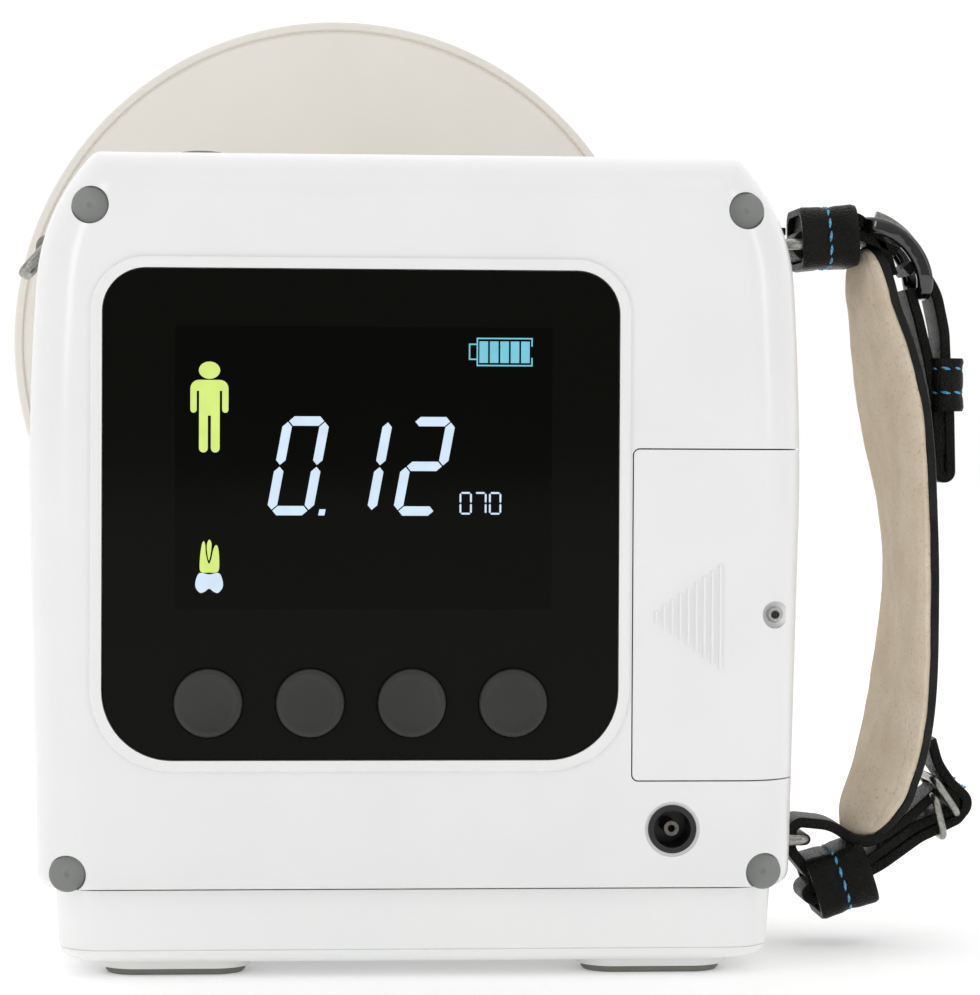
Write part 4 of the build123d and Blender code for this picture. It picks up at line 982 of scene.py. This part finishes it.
# The plies that show in the ends of the keepers, the tongue of the pad and the fold of the lower strap
keeper_ply_width = 17.2
upper_plies = [
    rounded_line([(78.9, height - 0.35), (88.9, height + 0.35)], [])
    for height in (145.9, 143.8, 141.6, 139.4)
]
pad_tongue = rounded_line([(84.0, 146.0), (89.4, 146.2), (94.2, 142.6), (96.8, 134.6)], [3.0, 12.0])
strap_piece("inner_plies", [band(route, keeper_ply_width) for route in upper_plies] + [band(pad_tongue)])
lower_plies = [
    rounded_line([(81.9 - rise * 0.31, 12.0 + rise * 0.95), (92.2 - rise * 0.31, 15.3 + rise * 0.95)], [])
    for rise in (-1.9, 0.4, 2.7)
]
fold_end = rounded_line([(92.0, 14.1), (80.2, 11.4), (80.2, 9.2), (92.6, 11.9)], [1.05, 1.05])
strap_piece("lower_plies", [band(route, keeper_ply_width) for route in lower_plies] + [band(fold_end)])

# %% [markdown]
# The pad is what the hand meets: suede over a thin foam, stitched to a leather backing. Its outline is two
# long arcs with round ends and its length follows a bow. The suede swells between its edges, so it is
# blown up slightly by a cloth simulation that is pinned along the rim and the seam.

# %% Shape of the pad
pad_top_z = 140.6
pad_base_z = 20.9
pad_half = 22.5
pad_end = 12.0
bow_places = [
    (20.9, 91.2), (26.0, 93.3), (31.0, 95.7), (40.0, 98.3), (49.0, 99.9), (65.0, 101.35), (77.0, 101.75),
    (89.5, 100.95), (100.0, 99.55), (110.0, 98.0), (120.0, 96.2), (130.0, 94.0), (140.6, 91.7),
]
twist_places = [
    (20.9, 20.0), (26.0, 20.5), (31.0, 19.0), (40.0, 12.2), (49.0, 7.1), (65.0, 1.4), (77.0, -0.4),
    (89.5, 0.7), (100.0, 3.9), (110.0, 6.7), (120.0, 7.2), (130.0, 6.0), (140.6, 9.0),
]


def follow(places, z):
    """Smooth value at a height through (height, value) pairs."""
    if z <= places[0][0]:
        return places[0][1]
    for index in range(len(places) - 1):
        (z1, v1), (z2, v2) = places[index], places[index + 1]
        if z <= z2:
            z0, v0 = places[max(index - 1, 0)]
            z3, v3 = places[min(index + 2, len(places) - 1)]
            slope1 = (v2 - v0) / (z2 - z0)
            slope2 = (v3 - v1) / (z3 - z1)
            t = (z - z1) / (z2 - z1)
            span = z2 - z1
            return (
                (2 * t ** 3 - 3 * t ** 2 + 1) * v1 + (t ** 3 - 2 * t ** 2 + t) * span * slope1
                + (3 * t ** 2 - 2 * t ** 3) * v2 + (t ** 3 - t ** 2) * span * slope2
            )
    return places[-1][1]


def pad_width_at(z):
    """Half the pad's width at a height, in mm."""
    top, base = pad_top_z - pad_end, pad_base_z + pad_end
    past_end = max(z - top, base - z)
    if past_end > 0:
        return math.sqrt(max(0.0, pad_end ** 2 - past_end ** 2))
    share = (2 * z - top - base) / (top - base)
    return pad_end + (pad_half - pad_end) * (1 - share * share)


def pad_place(z, across, out):
    """A point of the pad at a height, a distance across it and a distance outwards from its bow."""
    slope = follow(bow_places, z + 0.5) - follow(bow_places, z - 0.5)
    normal = Vector((1, -slope)).normalized()
    turn = math.radians(follow(twist_places, z))
    x = follow(bow_places, z) - across * math.sin(turn) + out * normal.x * math.cos(turn)
    y = across * math.cos(turn) + out * normal.x * math.sin(turn)
    return point(x, y, z + out * normal.y)


def pad_heights(rows, inset):
    """Heights of the rows, close together at the round ends."""
    low, high = pad_base_z + inset, pad_top_z - inset
    made = []
    for row in range(rows + 1):
        share = row / rows
        eased = 0.5 - 0.5 * math.cos(math.pi * share)
        made.append(low + (high - low) * (0.55 * share + 0.45 * eased))
    return made


def pad_shell(rows, columns, inset, face_out, back_out):
    """A closed pillow between two faces; each face gives its distance outwards at (z, share across)."""
    heights = pad_heights(rows, inset)
    shares = [math.sin(math.pi / 2 * (2 * column / columns - 1)) for column in range(columns + 1)]
    rings = []
    for z in heights:
        half = max(pad_width_at(z) - inset, 0.35)
        face = [pad_place(z, share * half, face_out(z, share)) for share in shares]
        back = [pad_place(z, share * half, back_out(z, share)) for share in reversed(shares)]
        rings.append(face + back)
    return skin(rings)


print("pad length along its bow, mm:", round(sum(
    (Vector((follow(bow_places, z + 1), z + 1)) - Vector((follow(bow_places, z), z))).length
    for z in range(22, 138)
), 1))

# %% [markdown]
# The leather backing is a plain cut piece, 1.7 mm thick, with a bevelled edge. The suede starts flat at
# its rim and is thickest along the middle.

# %% Leather back and suede lining
leather_thickness = 1.7
leather_bevel = 0.35
seam_inset = 0.82
seam_dip = 0.3
end_ease = 9.0
lining_base = 1.0
lining_swell = 2.0
upper_swell = 1.2
upper_swell_z = 115.0
crumple_height = 0.22
fold_height = 1.3


def end_share(z):
    """0 at the tips of the pad, 1 once past the rounding of its ends."""
    away = min(z - pad_base_z, pad_top_z - z)
    return min(1.0, max(0.0, away / end_ease)) ** 0.5


def back_edge(z, share):
    """Outer face of the leather, bevelled at its cut edge."""
    return leather_thickness - leather_bevel * max(0.0, (abs(share) - 0.96) / 0.04) ** 2


def lining_face(z, share):
    """Inner face of the suede: thin at the rim, a dip at the seam, thick along the middle."""
    rim = 1.0 - abs(share) ** 6
    dip = seam_dip * math.exp(-((abs(share) - seam_inset) / 0.035) ** 2)
    swell = lining_swell + upper_swell * math.exp(-((z - upper_swell_z) / 26.0) ** 2)
    return -(lining_base + swell * rim * end_share(z) - dip)


leather_back = pad_shell(96, 40, 0.0, lambda z, share: 0.02, back_edge)
strap_piece("pad_leather", [leather_back], ["hand_pad"], edge_leather, sharp=50)
suede_face = pad_shell(80, 36, 0.35, lining_face, lambda z, share: -0.02)
for index, corner in enumerate(suede_face[0]):
    crumple = noise.noise(corner * per_mm(3.2)) * crumple_height * MM
    fold = noise.noise(corner * per_mm(7.0) + Vector((5.0, 1.0, 2.0)))
    near_base = math.exp(-((corner.z / MM - pad_base_z) / 9.0) ** 2)
    moved = crumple + fold * near_base * fold_height * MM
    suede_face[0][index] = corner + Vector((1, 0.3, 0)) * moved
suede = make_piece("pad_suede", suede_face, tan_suede, "hand_strap", ["pad_lining"], sharp=70)

# %% [markdown]
# The foam under the suede pushes it out between the rim and the seam. Blender's cloth does that: gravity is
# off, a light pressure blows the closed form up, the sewn points are pinned, and no point may move by more
# than a fixed distance, so that the pad keeps its size.

# %% Fill the pad
sewn_below = 0.35
sewn_past = 0.93
seam_reach = 0.03
foam_pressure = 4.0
most_moved = 0.9
cloth_steps = 20


def puff(piece, pinned, pressure, cap):
    """Blow a closed piece up with its pinned points held, and keep the result in its mesh."""
    rest = [vertex.co.copy() for vertex in piece.data.vertices]
    group = piece.vertex_groups.new(name="sewn")
    group.add(pinned, 1.0, "REPLACE")
    cloth = piece.modifiers.new("fill", "CLOTH")
    cloth.settings.use_pressure = True
    cloth.settings.uniform_pressure_force = pressure
    cloth.settings.effector_weights.gravity = 0
    cloth.settings.vertex_group_mass = group.name
    cloth.settings.mass = 0.15
    cloth.settings.quality = 6
    cloth.collision_settings.use_collision = False
    scene = bpy.context.scene
    for step in range(1, cloth_steps + 1):
        scene.frame_set(step)
    filled = piece.evaluated_get(bpy.context.evaluated_depsgraph_get())
    moved = [vertex.co.copy() for vertex in filled.to_mesh().vertices]
    filled.to_mesh_clear()
    piece.modifiers.remove(cloth)
    piece.vertex_groups.remove(group)
    scene.frame_set(1)
    largest = 0.0
    for vertex, start, end in zip(piece.data.vertices, rest, moved):
        step = end - start
        largest = max(largest, step.length)
        if step.length > cap:
            step = step.normalized() * cap
        vertex.co = start + step
    return largest


def held_points(piece):
    """Points of the back, the rim and the seam, which the stitches and the glue hold."""
    held = []
    for vertex in piece.data.vertices:
        z = vertex.co.z / MM
        half = pad_width_at(z) or 1.0
        here = pad_place(z, vertex.co.y / MM, 0)
        lifted = (here.x - vertex.co.x) / MM
        share = abs(vertex.co.y / MM) / half
        if lifted < sewn_below or share > sewn_past or abs(share - seam_inset) < seam_reach:
            held.append(vertex.index)
    return held


held = held_points(suede)
print("pinned points:", len(held), "of", len(suede.data.vertices))
farthest = puff(suede, held, foam_pressure, most_moved * MM)
print("largest free movement, mm:", round(farthest / MM, 2))
smoother = suede.modifiers.new("smoother", "SUBSURF")
smoother.levels = 1
smoother.render_levels = 1

# %% [markdown]
# The buckle of the upper strap is a bowed frame. A closed loop, a rectangle with round corners, is laid on
# the bow and a soft section is carried round it.

# %% Buckle
def closed_steps(outline):
    """A closed outline with more points along it, about a millimetre apart."""
    made = []
    for (a, b), (c, d) in zip(outline, outline[1:] + outline[:1]):
        pieces = max(1, round(math.hypot(c - a, d - b)))
        made += [(a + (c - a) * k / pieces, b + (d - b) * k / pieces) for k in range(pieces)]
    return made


def circle_through(first, second, third):
    """Centre and radius of the circle through three (x, z) places."""
    a, b, c = Vector(first), Vector(second), Vector(third)
    d = 2 * (a.x * (b.y - c.y) + b.x * (c.y - a.y) + c.x * (a.y - b.y))
    sums = [place.length_squared for place in (a, b, c)]
    x = (sums[0] * (b.y - c.y) + sums[1] * (c.y - a.y) + sums[2] * (a.y - b.y)) / d
    y = (sums[0] * (c.x - b.x) + sums[1] * (a.x - c.x) + sums[2] * (b.x - a.x)) / d
    centre = Vector((x, y))
    return centre, (a - centre).length


def on_arc(start, middle, end):
    """A function from 0..1 to a place and outward direction on the arc through three (x, z) points."""
    centre, radius = circle_through(start, middle, end)
    angles = [math.atan2(place[1] - centre[1], place[0] - centre[0]) for place in (start, end)]

    def at(share):
        """Place and outward direction at a share of the arc."""
        turn = angles[0] + (angles[1] - angles[0]) * share
        outward = Vector((math.cos(turn), 0, math.sin(turn)))
        return Vector((centre[0], 0, centre[1])) + outward * radius, outward

    return at, radius * abs(angles[1] - angles[0])


buckle_arc, buckle_length = on_arc((91.6, 144.7), (98.7, 141.6), (102.9, 131.0))
buckle_width = 17.0
buckle_section = soft_rectangle(2.6, 3.2, 0.9, 6)
centres, outs = [], []
for across, up in closed_steps(soft_rectangle(buckle_width - 2.0, buckle_length - 0.2, 3.0, 6)):
    spot, outward = buckle_arc(0.5 - up / buckle_length)
    centres.append(spot + Vector((0, across, 0)))
    outs.append(outward)
rings = []
for spot, outward, tangent in zip(centres, outs, directions(centres, closed=True)):
    side = tangent.cross(outward).normalized()
    rings.append([(spot + side * a + outward * b) * MM for a, b in buckle_section])
rings.append(rings[0])
make_piece(
    "buckle_frame", skin(rings, capped=False), black_enamel, "hand_strap",
    ["upper_buckle"], sharp=60,
)

# %% [markdown]
# The wire parts are drawn again with round sections, since the engineering model's are coarser: the small
# ring of the neck strap at the left, and the two linked frames in the folded end of the lower strap.

# %% Wire pieces
def wire_tube(line, radius, closed=False, steps=14):
    """A round wire along places in mm."""
    tangents = directions(line, closed)
    side = Vector((0, 1, 0))
    rings = []
    for place, tangent in zip(line, tangents):
        side = side - tangent * side.dot(tangent)
        if side.length < 1e-3:
            side = Vector((1, 0, 0)) - tangent * tangent.x
        side.normalize()
        other = tangent.cross(side)
        rings.append([
            (place + (side * math.cos(2 * math.pi * k / steps) + other * math.sin(2 * math.pi * k / steps))
             * radius) * MM for k in range(steps)
        ])
    if closed:
        rings.append(rings[0])
    return skin(rings, capped=not closed)


def wire_frame(start, lean, reach, span, bend, radius):
    """A closed wire loop that hangs from start, leaning by some degrees, span wide along y."""
    down = Vector((math.sin(math.radians(lean)), 0, -math.cos(math.radians(lean))))
    across = Vector((0, 1, 0))
    origin = Vector((start[0], 0, start[1]))
    line = [
        origin + across * a + down * (reach / 2 - b)
        for a, b in closed_steps(soft_rectangle(span, reach, bend, 8))
    ]
    return wire_tube(line, radius, closed=True)


make_piece(
    "neck_ring", wire_frame((-71.55, 139.05), -42, 7.0, 14.0, 2.6, 1.0), nickel_wire, "left_ring",
    ["left_ring"], sharp=80,
)
make_piece(
    "fold_buckle", joined([
        wire_frame((105.5, 30.2), 13, 8.2, 17.0, 2.0, 0.8),
        wire_frame((105.5, 33.6), 35, 8.4, 15.4, 2.0, 0.8),
    ]), nickel_wire, "hand_strap", ["lower_buckle"], sharp=80,
)

# %% [markdown]
# Two more rows of stitches cross the folded end of the lower strap, and one crosses the tab.

# %% Stitches across the lower strap
def cross_row(place, outward, width=10.5):
    """A row of stitches straight across a band at an (x, z) place."""
    centre = Vector((place[0], 0, place[1]))
    ends = [centre + Vector((0, side * width / 2, 0)) for side in (-1, 1)]
    out = Vector((outward[0], 0, outward[1])).normalized()
    return stitch_row(ends, [out, out], pitch=2.4)


fold_rows = cross_row((110.2, 33.4), (0.6, 0.8)) + cross_row((112.3, 31.6), (0.68, 0.73))
strap_piece("fold_stitches", fold_rows, finish=blue_thread, sharp=40)
tab_row = cross_row((95.0, 19.9), (-0.58, 0.81), 9.0)
strap_piece("tab_stitches", tab_row, finish=blue_thread, sharp=40)

# %% [markdown]
# The studio is a pale floor that runs back into a white surround. It is a light table with a faint glow of
# its own. The surround is less bright on the camera's side, as in a real studio. Three large soft boxes
# light the front: one from each side and one from above. They also give the gloss its pale reflections.

# %% Floor
floor_mesh = bpy.data.meshes.new("studio_floor")
floor_side = 6.0
floor_glow = 0.2
floor_corners = [(a * floor_side, b * floor_side, 0) for a, b in ((-1, -1), (1, -1), (1, 1), (-1, 1))]
floor_mesh.from_pydata(floor_corners, [], [(0, 1, 2, 3)])
floor = bpy.data.objects.new("studio_floor", floor_mesh)
bpy.context.scene.collection.objects.link(floor)
floor_finish, _, floor_shader, _ = new_material("pale_floor", roughness=0.85)
floor_shader.inputs["Base Color"].default_value = linear("#F6F6F6")
floor_shader.inputs["Emission Color"].default_value = linear("#FFFFFF")
floor_shader.inputs["Emission Strength"].default_value = floor_glow
floor_mesh.materials.append(floor_finish)

# %% Surround
dim_side = 0.35
bright_side = 1.0
overhead_gain = 0.6
world = bpy.data.worlds.new("studio")
bpy.context.scene.world = world
world.use_nodes = True
surround = world.node_tree
direction = add_node(surround, "ShaderNodeTexCoord").outputs["Generated"]
compass = add_node(surround, "ShaderNodeSeparateXYZ", {"Vector": direction}).outputs
shade = add_node(
    surround, "ShaderNodeMapRange",
    {"Value": compass["Y"], "From Min": -0.4, "From Max": 0.9, "To Min": dim_side, "To Max": bright_side},
)
shade.interpolation_type = "SMOOTHSTEP"
background = surround.nodes["Background"]
background.inputs["Color"].default_value = linear("#FFFFFF")
above = add_node(surround, "ShaderNodeMath", {0: compass["Z"], 1: 0.0}, operation="MAXIMUM")
total = add_node(
    surround, "ShaderNodeMath", {0: above.outputs[0], 1: overhead_gain, 2: shade.outputs["Result"]},
    operation="MULTIPLY_ADD",
)
surround.links.new(total.outputs[0], background.inputs["Strength"])

# %% Soft boxes
middle_of_unit = Vector((0.0, 0.0, 0.09))


def soft_box(name, place, size, power):
    """A rectangular soft lamp at a place in metres, aimed at the unit; power is in watts."""
    light = bpy.data.lights.new(name, "AREA")
    light.shape = "RECTANGLE"
    light.size, light.size_y = size
    light.energy = power
    made = bpy.data.objects.new(name, light)
    made.location = place
    made.rotation_euler = (middle_of_unit - Vector(place)).to_track_quat("-Z", "Y").to_euler()
    bpy.context.scene.collection.objects.link(made)


soft_box("left_box", (-0.75, -0.72, 0.42), (0.2, 0.55), 1.25)
soft_box("right_box", (0.8, -0.68, 0.4), (0.16, 0.55), 0.8)
soft_box("top_box", (0.0, -0.55, 0.95), (1.0, 0.5), 0.45)
bpy.context.scene.view_settings.view_transform = "Standard"

# %% [markdown]
# The camera has a long lens. It stands two thirds of a metre away, a little to the left of the display and
# level with it, with the slight tilt of a hand held shot.

# %% Camera
image_height_px = 995
focal_px = 3383.0
camera_place = point(-30.9, -676.9, 102.2)
camera_yaw = 4.0
camera_pitch = -1.05
camera_roll = 0.27
sensor_height = 36.0
camera_data = bpy.data.cameras.new("photo_camera")
camera_data.sensor_fit = "VERTICAL"
camera_data.sensor_height = sensor_height
camera_data.lens = focal_px / image_height_px * sensor_height
camera_data.clip_start = 0.01
camera = bpy.data.objects.new("photo_camera", camera_data)
camera.location = camera_place
turn = Matrix.Rotation(math.radians(-camera_yaw), 4, "Z")
tilt = Matrix.Rotation(math.radians(90 + camera_pitch), 4, "X")
roll = Matrix.Rotation(math.radians(camera_roll), 4, "Z")
camera.rotation_euler = (turn @ tilt @ roll).to_euler()
bpy.context.scene.collection.objects.link(camera)
bpy.context.scene.camera = camera
